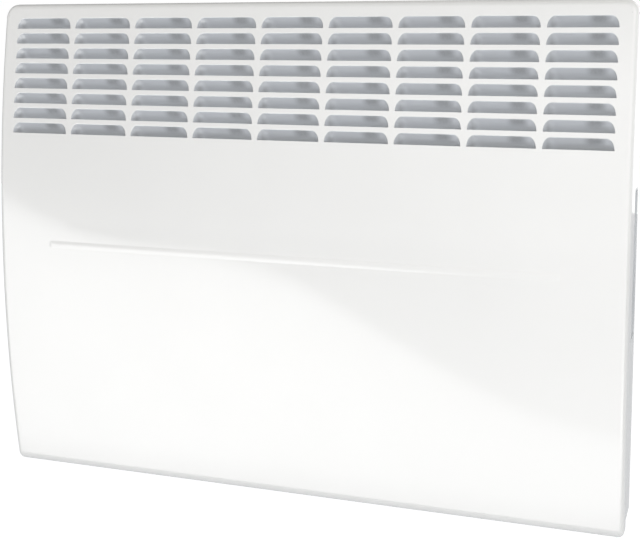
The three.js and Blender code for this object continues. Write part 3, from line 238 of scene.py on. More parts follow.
def baked_enamel():
    """Baked enamel on pressed steel: a glassy coat over a white ground, so soft shapes mirror in it.

    Where the mesh says recess, in the louvres, blue-grey shade is painted on. A faintly streaked patch of
    painted shade darkens each louvre's upper right, and a band of painted shade its turned-in left end.
    """
    s = panel_settings()
    # Colour of the louvres' painted shade.
    shaded = list(finish_settings().louvre_painted_shade)
    tree, surface, colour = start_material(
        "baked_enamel", "enamel", Roughness=0.32, IOR=1.5, Coat_Weight=1.0, Coat_Roughness=0.04, Coat_IOR=1.5)
    cloud = grain(tree, 90 * MM, detail=1.0)  # the coat is a touch thicker in places
    vary(tree, surface, cloud, (shade(colour, 0.985), colour))
    ground = surface.inputs["Base Color"].links[0].from_socket

    place = add_node(tree, "ShaderNodeTexCoord").outputs["Object"]
    along = add_node(tree, "ShaderNodeSeparateXYZ", links={"Vector": place}).outputs
    left = -s.columns * s.column_pitch / 2
    bottom = PANEL_HIGH.z - s.top_margin - (s.rows - 1) * s.row_pitch
    # Painted shade: a dark patch right of each louvre's middle, in its upper part, faintly streaked.
    shade_patch = repeat_band(tree, along["X"], left, s.column_pitch, middle=0.70, half=0.10, blur=0.07)
    shade_patch_rows = repeat_band(tree, along["Z"], bottom, s.row_pitch, middle=0.53, half=0.22, blur=0.20)
    # Painted shade at each louvre's turned-in left end.
    turned = repeat_band(tree, along["X"], left, s.column_pitch, middle=0.10, half=0.03, blur=0.05)
    streaks = grain(tree, 1.6 * MM, (1, 1, 0.05))
    settings = {"To Min": 0.7, "To Max": 1.3}
    streaks = add_node(tree, "ShaderNodeMapRange", settings, {"Value": streaks}).outputs[0]
    for factor in (shade_patch_rows, streaks):
        shade_patch = add_node(tree, "ShaderNodeMath", {"operation": "MULTIPLY"}, {0: shade_patch, 1: factor}).outputs[0]
    # The recess mask lays the painted shade over the ground, darker in the patch and at the left end.
    recess = add_node(tree, "ShaderNodeAttribute", {"attribute_name": "recess"}).outputs["Fac"]
    # A Mix node's colour sockets are its inputs 6 and 7, and its output 2.
    settings = {"data_type": "RGBA", 6: shaded, 7: shade(shaded, 0.62)}
    louvre_shade_mix = add_node(tree, "ShaderNodeMix", settings, {"Factor": shade_patch}).outputs[2]
    settings = {"data_type": "RGBA", 7: shade(shaded, 0.72)}
    louvre_shade_mix = add_node(tree, "ShaderNodeMix", settings, {"Factor": turned, 6: louvre_shade_mix}).outputs[2]
    mixed = add_node(tree, "ShaderNodeMix", {"data_type": "RGBA"}, {"Factor": recess, 6: ground, 7: louvre_shade_mix})
    tree.links.new(mixed.outputs[2], surface.inputs["Base Color"])

    peel = grain(tree, 2.2 * MM, detail=1.0)  # orange peel of sprayed enamel
    vary(tree, surface, peel, depth=0.004 * MM, strength=0.5)
    tree.links.new(surface.inputs["Normal"].links[0].from_socket, surface.inputs["Coat Normal"])


def galvanised_steel():
    """Hot-dip galvanised sheet: flat zinc crystals, each a slightly different grey, under a dull lustre."""
    tree, surface, colour = start_material("galvanised_steel", "zinc", Metallic=1.0, Roughness=0.42)
    place = add_node(tree, "ShaderNodeTexCoord").outputs["Object"]
    settings = {"feature": "F1", "Scale": 1 / (9 * MM)}
    spangle = add_node(tree, "ShaderNodeTexVoronoi", settings, {"Vector": place})
    grey = add_node(tree, "ShaderNodeSeparateColor", links={"Color": spangle.outputs["Color"]}).outputs[0]
    vary(tree, surface, grey, (shade(colour, 0.72), shade(colour, 1.08)), band=(0, 1), gloss=(0.34, 0.52))
    vary(tree, surface, grain(tree, 1.4 * MM), depth=0.006 * MM)


def plated_steel():
    """Bright zinc plating on turned and stamped steel: cool, nearly a mirror, with faint turning marks."""
    tree, surface, colour = start_material("plated_steel", "plating", Metallic=1.0, Roughness=0.28)
    vary(tree, surface, grain(tree, 3 * MM), (shade(colour, 0.86), colour), gloss=(0.22, 0.36))
    vary(tree, surface, grain(tree, 0.4 * MM), depth=0.004 * MM)


def extruded_aluminium():
    """Mill-finish extruded aluminium: fine die lines along the length, which spread the light across them."""
    tree, surface, colour = start_material("extruded_aluminium", "aluminium", Metallic=1.0, Roughness=0.34)
    lines = grain(tree, 0.7 * MM, (0.02, 1, 1), detail=3.0)
    tones = shade(colour, 0.82), colour
    vary(tree, surface, lines, tones, gloss=(0.26, 0.44), depth=0.02 * MM, strength=0.6)


def rolled_aluminium():
    """Bright rolled aluminium sheet: close to a mirror, with long rolling streaks."""
    tree, surface, colour = start_material("rolled_aluminium", "aluminium", Metallic=1.0, Roughness=0.24)
    streaks = grain(tree, 1.6 * MM, (0.015, 1, 1))
    tones = shade(colour, 0.9), colour
    vary(tree, surface, streaks, tones, gloss=(0.18, 0.32), depth=0.01 * MM, strength=0.5)


def heat_tinted_sheath():
    """Drawn steel sheath that has been hot: brown-grey with straw and blue clouds."""
    tree, surface, colour = start_material("heat_tinted_sheath", "sheath", Metallic=1.0, Roughness=0.38)
    vary(tree, surface, grain(tree, 14 * MM), (linear("6f6f7c"), colour))
    vary(tree, surface, grain(tree, 0.5 * MM, (0.05, 1, 1)), depth=0.01 * MM)


def pressed_steatite():
    """Pressed and fired steatite: chalky cream with a fine grain and small dark specks."""
    tree, surface, colour = start_material("pressed_steatite", "steatite", Roughness=0.68, IOR=1.6)
    specks = grain(tree, 0.9 * MM, detail=3.0)
    vary(tree, surface, specks, (shade(colour, 0.8), colour), band=(0.28, 0.42), depth=0.03 * MM)


def moulded_rubber():
    """Moulded rubber: matt black with a bloom of paler dust."""
    tree, surface, colour = start_material("moulded_rubber", "rubber", Roughness=0.8, IOR=1.5)
    vary(tree, surface, grain(tree, 2.5 * MM, detail=3.0), (colour, linear("2b2b2d")))
    vary(tree, surface, grain(tree, 0.5 * MM), depth=0.02 * MM)


def masked_board():
    """Glass laminate under green solder mask: copper tracks show through as a paler green grid of lines."""
    tree, surface, colour = start_material("masked_board", "board", Roughness=0.35, IOR=1.5)
    place = add_node(tree, "ShaderNodeTexCoord").outputs["Object"]
    upright = {"Rotation": (0, math.pi / 2, 0)}
    place = add_node(tree, "ShaderNodeMapping", upright, {"Vector": place}).outputs[0]
    settings = {
        "offset": 0.37, "Scale": 1.0, "Mortar Size": 0.35 * MM, "Brick Width": 9 * MM, "Row Height": 2.4 * MM,
        "Color1": colour, "Color2": shade(colour, 0.9), "Mortar": linear("3f8a58")}
    tracks = add_node(tree, "ShaderNodeTexBrick", settings, {"Vector": place})
    tree.links.new(tracks.outputs["Color"], surface.inputs["Base Color"])
    vary(tree, surface, tracks.outputs["Fac"], depth=0.03 * MM)


def amber_polycarbonate():
    """Clear amber polycarbonate, moulded with a fine texture that scatters the lamp behind it."""
    tree, surface, colour = start_material(
        "amber_polycarbonate", "lens", Roughness=0.14, IOR=1.58, Transmission_Weight=0.45)
    vary(tree, surface, grain(tree, 1.2 * MM), (shade(colour, 0.85), colour))
    vary(tree, surface, grain(tree, 0.35 * MM), depth=0.02 * MM)


def silicone_sleeve():
    """Extruded silicone over woven glass: soft cream, matt, with the braid just showing."""
    tree, surface, colour = start_material("silicone_sleeve", "sleeve", Roughness=0.62, IOR=1.43)
    vary(tree, surface, grain(tree, 0.8 * MM, detail=1.0), (shade(colour, 0.9), colour), depth=0.05 * MM)


def printed_ink():
    """Pad-printed ink: a thin dark film, slightly uneven."""
    tree, surface, colour = start_material("printed_ink", "mark", Roughness=0.45, IOR=1.5)
    vary(tree, surface, grain(tree, 0.8 * MM), (shade(colour, 0.9), colour))


# Injection-moulded plastics: the colour's name in the settings, the roughness, the grain's pitch and depth.
MOULDED = {
    "moulded_abs_white": ("knob", 0.38, 0.5 * MM, 0.012 * MM),  # satin, with soft highlights
    "moulded_abs_tray": ("tray", 0.5, 0.6 * MM, 0.03 * MM),  # a coarser spark-eroded grain, nearly matt
    "moulded_nylon_black": ("black", 0.4, 0.5 * MM, 0.015 * MM),  # deep, with a low sheen
}


def moulded_plastic(name):
    """Injection-moulded plastic: one colour that drifts a little, and a grain that breaks up the shine."""
    colour_name, roughness, pitch, depth = MOULDED[name]
    tree, surface, colour = start_material(name, colour_name, Roughness=roughness, IOR=1.53)
    vary(tree, surface, grain(tree, 20 * MM, detail=1.0), (shade(colour, 0.96), colour))
    fine = grain(tree, pitch, detail=3.0, roughness=0.6)
    vary(tree, surface, fine, gloss=(roughness - 0.06, roughness + 0.08), depth=depth)


FINISHES = {make.__name__: make for make in (
    baked_enamel, galvanised_steel, plated_steel, extruded_aluminium, rolled_aluminium, heat_tinted_sheath,
    pressed_steatite, moulded_rubber, masked_board, amber_polycarbonate, silicone_sleeve, printed_ink,
)}


def finish(name):
    """The named finish, made the first time that a piece asks for it."""
    if name not in bpy.data.materials:
        if name in MOULDED:
            moulded_plastic(name)
        else:
            FINISHES[name]()
    return bpy.data.materials[name]


def dress(finish_name, *node_names):
    """Gives CAD nodes their finish."""
    for node_name in node_names:
        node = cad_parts[node_name]
        node.data.materials.clear()
        node.data.materials.append(finish(finish_name))


# ---------------------------------------------------------------- mesh helpers


def add_object(name, data):
    """A new object in the scene."""
    made = bpy.data.objects.new(name, data)
    bpy.context.scene.collection.objects.link(made)
    return made


def add_mesh(name, points, faces, material):
    mesh = bpy.data.meshes.new(name)
    mesh.from_pydata(points, [], faces)
    mesh.materials.append(material)
    return add_object(name, mesh)


def new_piece(name, points, faces, finish_name, body=BODY, sharp=35):
    """A mesh piece in the row frame that rides on a body, smooth up to the sharp angle in degrees."""
    piece = add_mesh(name, points, faces, finish(finish_name))
    piece.data.validate()
    smooth(piece, sharp)
    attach(piece, body)
    return piece


def smooth(piece, sharp):
    piece.data.shade_smooth()
    piece.data.set_sharp_from_angle(angle=math.radians(sharp))


def settle(piece):
    """Applies a piece's modifiers, so that its mesh is final."""
    graph = bpy.context.evaluated_depsgraph_get()
    graph.update()
    final = bpy.data.meshes.new_from_object(piece.evaluated_get(graph))
    piece.modifiers.clear()
    piece.data = final


def bevel(piece, width, segments, angle):
    """Rounds a piece's edges that are sharper than the angle in degrees."""
    modifier = piece.modifiers.new("edge", "BEVEL")
    modifier.width = width
    modifier.segments = segments
    modifier.limit_method = "ANGLE"
    modifier.angle_limit = math.radians(angle)
    settle(piece)
    smooth(piece, angle)


def turn_outward(piece):
    """Turns a closed piece's faces outward."""
    turned = bmesh.new()
    turned.from_mesh(piece.data)
    bmesh.ops.recalc_face_normals(turned, faces=turned.faces)
    turned.to_mesh(piece.data)
    turned.free()


def carve(piece, cutters):
    """Cuts the cutters out of a piece and removes them."""
    for cutter in cutters:
        modifier = piece.modifiers.new("cut", "BOOLEAN")
        modifier.operation = "DIFFERENCE"
        modifier.solver = "EXACT"
        modifier.object = cutter
    settle(piece)
    for cutter in cutters:
        bpy.data.objects.remove(cutter)


def lathe(profile, segments, origin, axis):
    """Points and faces of (radius, distance) pairs turned about an axis, on which the first and last lie."""
    turn = Vector((0, 0, 1)).rotation_difference(Vector(axis).normalized()).to_matrix()
    points, faces, rings = [], [], []
    for radius, distance in profile:
        count = 1 if radius == 0 else segments
        rings.append(range(len(points), len(points) + count))
        for i in range(count):
            angle = 2 * math.pi * i / segments
            offset = Vector((radius * math.cos(angle), radius * math.sin(angle), distance))
            points.append(Vector(origin) + turn @ offset)
    for lower, upper in zip(rings, rings[1:]):
        for i in range(segments):
            j = (i + 1) % segments
            corners = [ring[k % len(ring)] for ring, k in ((lower, i), (lower, j), (upper, j), (upper, i))]
            faces.append(list(dict.fromkeys(corners)))
    return points, [face for face in faces if len(face) > 2]


def prism(outline, low, high, place):
    """Points and faces of a (u, v) outline swept from w low to high. place gives the point of (u, v, w)."""
    count = len(outline)
    points = [place(u, v, w) for w in (low, high) for u, v in outline]
    sides = [[i, (i + 1) % count, count + (i + 1) % count, count + i] for i in range(count)]
    return points, [list(range(count))[::-1], [count + i for i in range(count)], *sides]


def arc_points(u, v, radius, start, end, steps):
    """Points on an arc, from one angle in degrees to another."""
    angles = [math.radians(start + (end - start) * i / steps) for i in range(steps + 1)]
    return [(u + radius * math.cos(a), v + radius * math.sin(a)) for a in angles]


def gather(parts):
    """Several (points, faces) pairs as one."""
    points, faces = [], []
    for part_points, part_faces in parts:
        faces += [[i + len(points) for i in face] for face in part_faces]
        points += part_points
    return points, faces


# ---------------------------------------------------------------- pressed front panel


class PressedSheet:
    """Faces of one pressed sheet with welded corners; land faces take the bow's own normal."""

    def __init__(self):
        self.places = {}
        self.points = []
        self.faces = []
        self.land = []

    def corner(self, point):
        key = tuple(round(c, 7) for c in point)
        if key not in self.places:
            self.places[key] = len(self.points)
            self.points.append(Vector(point))
        return self.places[key]

    def face(self, points, land=False):
        corners = list(dict.fromkeys(self.corner(p) for p in points))
        if len(corners) > 2:
            self.faces.append(corners)
            self.land.append(land)


class FrontPanel:
    """The bowed facade: rolled edges, louvres pressed inward and one raised rib, built at full fineness."""

    corner_steps = 8
    roll_steps = 8
    arc_steps = 10
    lower_steps = 14
    upper_steps = 6
    rib_steps = 8
    lip_drop = 1 * MM  # how far the lip hangs below the slot's lower edge
    lip_run = 14 * MM  # length of the lip's slope at each end
    lip_start = 0.3  # share of the scoop's swell at which the lip starts to drop
    lip_rise = 0.2 * MM  # how far the lip lies above the slot's lower edge before it drops
    rim_round = 0.3 * MM  # width of the enamelled round at a louvre's edge
    rim_steps = ((1.0, 0), (0.35, 0.03), (0.0, 0.2))  # how far out and how deep it goes, in its widths
    back_round = 0.4  # how much wider a slot is at the back, as a share of the sheet
    # A scoop's run from its edge to its lip, in shares of the drop and of the depth: a rounded start, a
    # hollow slope, and a small step above the lip.
    scoop_run = (
        (0.03, 0.008), (0.07, 0.06), (0.16, 0.22), (0.32, 0.44), (0.50, 0.63), (0.65, 0.76), (0.74, 0.865),
        (1.0, 1.0))
    recess_depth = 0.5 * MM  # depth at which the louvres' painted shade is full
    rib_end = 3.5 * MM  # length of the rib's rounded end
    rib_end_steps = 4
    least_corner = 0.5 * MM  # radius that the lower corners keep where the sheet turns in
    flange_back = PANEL_HIGH.y
    hair = 0.01 * MM  # keeps the rib's very ends with the land beside it
    same = 1e-9  # two places along x that are nearer than this are one

    def __init__(self, settings):
        self.s = settings
        self.half = (PANEL_HIGH.x - PANEL_LOW.x) / 2
        self.height = PANEL_HIGH.z - PANEL_LOW.z
        self.bottom_row = self.height - settings.top_margin - (settings.rows - 1) * settings.row_pitch
        self.sheet = PressedSheet()

    def bow(self, z):
        """The front's depth at a height."""
        s = self.s
        return s.bow_radius - s.crown_depth - math.sqrt(s.bow_radius ** 2 - (z - s.crown_height) ** 2)

    def bow_normal(self, z):
        lean = math.asin((z - self.s.crown_height) / self.s.bow_radius)
        return Vector((0, -math.cos(lean), math.sin(lean)))

    def rib_rise(self, x, z):
        """How far the low half-round rib lifts the sheet at a place."""
        s = self.s
        across = 1 - (2 * (z - s.rib_height) / s.rib_width) ** 2
        along = min((s.rib_length / 2 - abs(x)) / self.rib_end, 1)
        return s.rib_proud * max(across, 0) * math.sqrt(max(1 - (1 - along) ** 2, 0)) if along > 0 else 0

    def lay(self, x, z, front, depth=0.0):
        """A point of the sheet's front or back face, pressed in by depth."""
        y = self.bow(z) + depth - self.rib_rise(x, z) + (0 if front else self.s.sheet)
        return Vector((x, y, z + CASING_FLOOR))

    def recess(self, point):
        """0 on the panel's face, up to 1 in the louvres, where the enamel is painted darker as shade."""
        z = point.z - CASING_FLOOR
        s = self.s
        beside = abs(point.x) > s.columns * s.column_pitch / 2
        if beside or z < self.bottom_row - 2 * s.sheet or z > self.height - s.top_margin + s.row_pitch:
            return 0.0
        return min(max((point.y - self.bow(z)) / self.recess_depth, 0), 1)

    def levels(self):
        """Heights at which the sheet is divided, and how many lie below the louvres."""
        s = self.s
        rows = self.bottom_row - (s.row_pitch - s.louvre_height) / 2
        rib_low = s.rib_height - s.rib_width / 2
        rib_high = s.rib_height + s.rib_width / 2
        lowest = s.bottom_roll + s.bottom_corner
        below = [lowest + (rib_low - lowest) * i / self.lower_steps for i in range(self.lower_steps)]
        rib = [rib_low + (rib_high - rib_low) * i / self.rib_steps for i in range(self.rib_steps)]
        above = [rib_high + (rows - rib_high) * i / self.upper_steps for i in range(self.upper_steps)]
        louvred = [rows + s.row_pitch * row for row in range(s.rows + 1)]
        return below + rib + above + louvred, len(below + rib + above)

    def outline(self, levels, side, top, bottom, top_radius, bottom_radius):
        """The panel's outline, counter-clockwise from the front, with a point on each side at every level."""
        reach = self.half - side
        points = []

        def corner(x, z, radius, quarter):
            for i in range(self.corner_steps + 1):
                angle = (quarter + i / self.corner_steps) * math.pi / 2
                points.append((x + radius * math.cos(angle), z + radius * math.sin(angle)))

        corner(-reach + bottom_radius, bottom + bottom_radius, bottom_radius, 2)
        corner(reach - bottom_radius, bottom + bottom_radius, bottom_radius, 3)
        points.extend((reach, z) for z in levels)
        corner(reach - top_radius, self.height - top - top_radius, top_radius, 0)
        corner(-reach + top_radius, self.height - top - top_radius, top_radius, 1)
        points.extend((-reach, z) for z in reversed(levels))
        return points

    def roll_ring(self, levels, turn, thickness):
        """One ring of the rolled edge: turn 0 is where it leaves the face, 1 where it meets the flange."""
        s = self.s
        left = 1 - math.sin(turn * math.pi / 2)
        fall = 1 - math.cos(turn * math.pi / 2)
        side = thickness + (s.roll - thickness) * left
        bottom = thickness + (s.bottom_roll - thickness) * left
        radii = s.top_corner - side, max(s.bottom_corner - side, self.least_corner)
        drop = thickness + (s.roll - thickness) * fall
        outline = self.outline(levels, side, side, bottom, *radii)
        return [Vector((x, self.bow(z) + drop, z + CASING_FLOOR)) for x, z in outline]

    def add_edges(self, levels):
        """The rolled edge and its flange, outside and inside. Returns the face's outline."""
        turns = [i / self.roll_steps for i in range(self.roll_steps + 1)]
        rings = [self.roll_ring(levels, turn, 0) for turn in turns]
        inner = [self.roll_ring(levels, turn, self.s.sheet) for turn in reversed(turns)]
        for ring in (rings[-1], inner[0]):
            flange = [Vector((p.x, self.flange_back, p.z)) for p in ring]
            rings.append(flange)
        rings += inner
        for ring, following in zip(rings, rings[1:]):
            for i, point in enumerate(ring):
                j = (i + 1) % len(ring)
                self.sheet.face([point, following[i], following[j], ring[j]])
        return [(p.x, p.z - CASING_FLOOR) for p in rings[0]]

    def fill(self, lower, upper, front, land=True):
        """The strip between two chains of (x, z) points that both run from left to right."""
        i = j = 0
        while i + 1 < len(lower) or j + 1 < len(upper):
            next_lower = lower[i + 1][0] if i + 1 < len(lower) else math.inf
            next_upper = upper[j + 1][0] if j + 1 < len(upper) else math.inf
            if abs(next_lower - next_upper) < self.same:
                patch = [lower[i], lower[i + 1], upper[j + 1], upper[j]]
                i += 1
                j += 1
            elif next_lower < next_upper:
                patch = [lower[i], lower[i + 1], upper[j]]
                i += 1
            else:
                patch = [lower[i], upper[j + 1], upper[j]]
                j += 1
            beside_rib = all(abs(x) > self.s.rib_length / 2 - self.hair for x, z in patch)
            self.patch(patch, front, land or beside_rib)

    def patch(self, outline, front, land=True):
        points = [self.lay(x, z, front) for x, z in outline]
        self.sheet.face(points if front else points[::-1], land and front)

    def louvre_rim(self, left, bottom, grow):
        s = self.s
        quarter = []
        for i in range(self.arc_steps + 1):
            angle = i / self.arc_steps * math.pi / 2
            x = s.louvre_corner - (s.louvre_corner + grow) * math.cos(angle)
            quarter.append((left + x, bottom + (s.louvre_height + grow) * math.sin(angle)))
        return quarter + [(2 * left + s.louvre_width - x, z) for x, z in reversed(quarter)]

    def add_land(self, tile, rim, front):
        """The flat land round one louvre, out to the middle of the gaps to its neighbours."""
        lower_left, lower_right, upper_right, upper_left = tile
        middle = self.arc_steps
        self.patch([lower_left, lower_right, rim[-1], rim[0]], front)
        self.patch([upper_left, lower_left, rim[0]], front)
        self.patch([lower_right, upper_right, rim[-1]], front)
        for i in range(middle):
            self.patch([upper_left, rim[i], rim[i + 1]], front)
            self.patch([upper_right, rim[-i - 2], rim[-i - 1]], front)
        self.patch([upper_left, rim[middle], rim[middle + 1], upper_right], front)

    def add_scoop(self, left, bottom, rim_back):
        """The scoop pressed in from a louvre's curved edge down to its free lip, with its thickness."""
        s = self.s
        edges = [self.louvre_rim(left, bottom, self.rim_round * grow) for grow, sunk in self.rim_steps]
        edge_depths = [sunk * self.rim_round for grow, sunk in self.rim_steps]
        rim = edges[-1]
        last = len(rim) - 1
        front = []
        for i, (x, z) in enumerate(rim):
            share = min(min(i, last - i) / self.arc_steps, 1) * math.pi / 2
            swell = math.sin(share)
            run = self.lip_run * (1 - math.cos(share))
            lip_x = left + run if i <= last / 2 else left + s.louvre_width - run
            sink = max(swell - self.lip_start, 0) / (1 - self.lip_start)
            lip_z = bottom + self.lip_rise * swell * (1 - sink) - self.lip_drop * sink
            line = [self.lay(*edge[i], True, depth * swell) for edge, depth in zip(edges, edge_depths)]
            for down, inward in self.scoop_run:
                depth = edge_depths[-1] + (s.louvre_depth - edge_depths[-1]) * inward
                height = z + (lip_z - z) * down + CASING_FLOOR
                line.append(Vector((x + (lip_x - x) * inward, self.bow(z) + depth * swell, height)))
            front.append(line)
        deepest = len(front[0]) - 1
        back = []
        for i, line in enumerate(front):
            behind = [self.lay(*rim_back[i], False)]
            for k in range(1, deepest + 1):
                if i in (0, last):
                    behind.append(behind[0])
                    continue
                across = front[i + 1][k] - front[i - 1][k]
                inwards = line[min(k + 1, deepest)] - line[k - 1]
                behind.append(line[k] + across.cross(inwards).normalized() * s.sheet)
            back.append(behind)
        for i in range(last):
            for k in range(deepest):
                self.sheet.face([front[i][k], front[i][k + 1], front[i + 1][k + 1], front[i + 1][k]])
                self.sheet.face([back[i][k], back[i + 1][k], back[i + 1][k + 1], back[i][k + 1]])
            lip = [front[i][deepest], back[i][deepest], back[i + 1][deepest], front[i + 1][deepest]]
            self.sheet.face(lip)
        self.sheet.face([*front[0], *reversed(front[last]), back[last][0], back[0][0]])

    def build(self):
        """Makes the whole sheet and returns it."""
        s = self.s
        levels, first_row = self.levels()
        top = len(levels) - 1
        outline = self.add_edges(levels)
        corner_points = 2 * (self.corner_steps + 1)
        rib_low, rib_high = self.lower_steps, self.lower_steps + self.rib_steps
        steps = self.rib_end_steps
        ends = [s.rib_length / 2 - self.rib_end * i / steps for i in range(steps + 1)]
        rib_places = [-x for x in ends] + ends[::-1]

        def chain(level):
            z = levels[level]
            inside = []
            if rib_low <= level <= rib_high:
                inside = [(x, z) for x in rib_places]
            if level >= first_row:
                inside = [((c - s.columns / 2) * s.column_pitch, z) for c in range(s.columns + 1)]
            return [outline[-1 - level], *inside, outline[corner_points + level]]

        lower_edge = outline[:corner_points]
        upper_edge = outline[corner_points + len(levels):2 * corner_points + len(levels)][::-1]
        for front in (True, False):
            self.fill(lower_edge, chain(0), front)
            self.fill(chain(top), upper_edge, front)
            for level in range(first_row):
                on_rib = rib_low <= level < rib_high
                self.fill(chain(level), chain(level + 1), front, not on_rib)
        for row in range(s.rows):
            lower, upper = chain(first_row + row), chain(first_row + row + 1)
            bottom = self.bottom_row + row * s.row_pitch
            tiles = [[lower[i], lower[i + 1], upper[i + 1], upper[i]] for i in range(s.columns + 2)]
            for column, tile in enumerate(tiles):
                if column in (0, s.columns + 1):
                    self.patch(tile, True)
                    self.patch(tile, False)
                    continue
                left = tile[0][0] + (s.column_pitch - s.louvre_width) / 2
                rim_back = self.louvre_rim(left, bottom, self.rim_round + self.back_round * s.sheet)
                self.add_land(tile, self.louvre_rim(left, bottom, self.rim_round), True)
                self.add_land(tile, rim_back, False)
                self.add_scoop(left, bottom, rim_back)
        return self.sheet


class HEATER_OT_front_panel(bpy.types.Operator):
    """Builds the bowed, louvred front panel over its plain solid"""

    bl_idname = "heater.front_panel"
    bl_label = "Front panel"

    def execute(self, context):
        panel = FrontPanel(panel_settings())
        sheet = panel.build()
        piece = new_piece("bowed_front_panel", sheet.points, sheet.faces, "baked_enamel", sharp=50)
        mesh = piece.data
        if len(mesh.polygons) != len(sheet.faces):
            raise RuntimeError("the front panel's sheet has faces that Blender refused")
        normals = [Vector()] * len(mesh.loops)
        for polygon, land in zip(mesh.polygons, sheet.land):
            if land:
                for loop in polygon.loop_indices:
                    height = mesh.vertices[mesh.loops[loop].vertex_index].co.z - CASING_FLOOR
                    normals[loop] = panel.bow_normal(height)
        mesh.normals_split_custom_set(normals)
        # The recess mask, by which the enamel paints the louvres' shade.
        mesh.attributes.new("recess", "FLOAT", "POINT").data.foreach_set(
            "value", [panel.recess(vertex.co) for vertex in mesh.vertices])
        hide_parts("front_panel")
        return {"FINISHED"}


# ---------------------------------------------------------------- casing


class HEATER_OT_casing(bpy.types.Operator):
    """Finishes the folded back casing and the two side plates"""

    bl_idname = "heater.casing"
    bl_label = "Casing"

    def execute(self, context):
        dress("baked_enamel", "back_casing", "side_plate_left", "side_plate_right")
        return {"FINISHED"}


# ---------------------------------------------------------------- heating parts


class HEATER_OT_heating_parts(bpy.types.Operator):
    """Finishes the finned element, its supports, the deflector, the limiter and the leads"""

    bl_idname = "heater.heating_parts"
    bl_label = "Heating parts"

    def execute(self, context):
        dress("extruded_aluminium", "heating_element_fins")
        dress("rolled_aluminium", "air_deflector")
        dress("heat_tinted_sheath", "heating_rod")
        dress("pressed_steatite", "insulating_bush_left", "insulating_bush_right")
        dress("galvanised_steel", "element_support_left", "element_support_right", "control_partition")
        dress("moulded_nylon_black", "thermal_cutout")
        dress("silicone_sleeve", "element_lead_left", "element_lead_right", "cutout_lead")
        return {"FINISHED"}


# ---------------------------------------------------------------- controls


def on_dial(x, axis, angle, hand):
    """Gives prism its place on the dial: v outwards at the angle, u across by the hand's sign, w along x."""
    cos, sin = math.cos(angle), math.sin(angle)
    return lambda u, v, w: Vector((x + w, axis.y + hand * (u * cos - v * sin), axis.z + (u * sin + v * cos)))


def rectangle(half, low, high):
    """An outline that reaches half to both sides of u = 0, and from low to high along v."""
    return [(-half, low), (half, low), (half, high), (-half, high)]


def thermostat_knob():
    """A round skirt with a pointer grip across it, and a printed line along the pointer."""
    shaft_low, shaft_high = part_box("potentiometer_shaft")
    knob_low, knob_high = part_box("thermostat_knob")
    axis = (shaft_low + shaft_high) / 2
    radius = (knob_high.z - knob_low.z) / 2
    skirt_height, grip_height = 4 * MM, knob_high.x - knob_low.x
    foot, rim = 0.6 * MM, 1.2 * MM  # how far the skirt's lower and upper edges are rounded
    grip_half = 4 * MM
    tip = radius - 1 * MM  # both ends of the grip, from the axis
    line_half, line_start, line_end = 0.4 * MM, 2 * MM, radius - 3.4 * MM
    ink_under, ink_proud = 0.3 * MM, 0.02 * MM
    place = on_dial(knob_low.x, axis, math.radians(135), 1)

    profile = [
        (0, 0), (radius - foot, 0), (radius, foot), (radius, skirt_height - rim),
        (radius - 0.4 * MM, skirt_height - 0.35 * MM), (radius - rim, skirt_height), (0, skirt_height)]
    skirt = lathe(profile, 64, (knob_low.x, axis.y, axis.z), (1, 0, 0))
    tail = arc_points(0, -(tip - grip_half), grip_half, 180, 360, 12)
    nose = [(grip_half, radius - 2 * grip_half), (0, tip), (-grip_half, radius - 2 * grip_half)]
    grip = prism(tail + nose, skirt_height - 1 * MM, grip_height, place)
    line = rectangle(line_half, line_start, line_end)
    line = prism(line, grip_height - ink_under, grip_height + ink_proud, place)

    knob = new_piece("thermostat_knob_skirt", *skirt, "moulded_abs_white", "knob", 30)
    bar = new_piece("thermostat_knob_grip", *grip, "moulded_abs_white", "knob")
    bevel(bar, 0.8 * MM, segments=4, angle=30)
    mark = new_piece("thermostat_knob_mark", *line, "printed_ink", "knob")
    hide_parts("thermostat_knob")
    return axis, radius


def dial_marks(axis, radius):
    """Printed ticks on the tray's floor round the knob, wider towards the warm end."""
    ticks, first, apart = 11, -135, 27  # how many, and their angles in degrees
    thinnest, wider = 0.2 * MM, 0.03 * MM  # half the first tick's width, and what each tick adds
    gap, length = 0.5 * MM, 1.4 * MM
    ink_under, ink_proud = 0.02 * MM, 0.06 * MM
    tray_depth = 14 * MM
    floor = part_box("control_bezel")[1].x - tray_depth
    parts = []
    for i in range(ticks):
        place = on_dial(floor, axis, math.radians(first + apart * i), -1)
        tick = rectangle(thinnest + wider * i, radius + gap, radius + gap + length)
        parts.append(prism(tick, -ink_under, ink_proud, place))
    marks = new_piece("dial_marks", *gather(parts), "printed_ink")


class HEATER_OT_controls(bpy.types.Operator):
    """Builds the knob and marks, and finishes the tray, switch, lens and board"""

    bl_idname = "heater.controls"
    bl_label = "Controls"

    def execute(self, context):
        dress("moulded_abs_tray", "control_bezel")
        dress("plated_steel", "potentiometer_shaft")
        dress("galvanised_steel", "potentiometer_body")
        dress("moulded_nylon_black", "power_rocker", "switch_body", "control_relay", "room_sensor")
        dress("moulded_abs_white", "terminal_block")
        dress("masked_board", "circuit_board")
        dress("amber_polycarbonate", "indicator_lens")
        dress("moulded_rubber", "cable_grommet")
        axis, radius = thermostat_knob()
        dial_marks(axis, radius)
        return {"FINISHED"}


# ---------------------------------------------------------------- fasteners


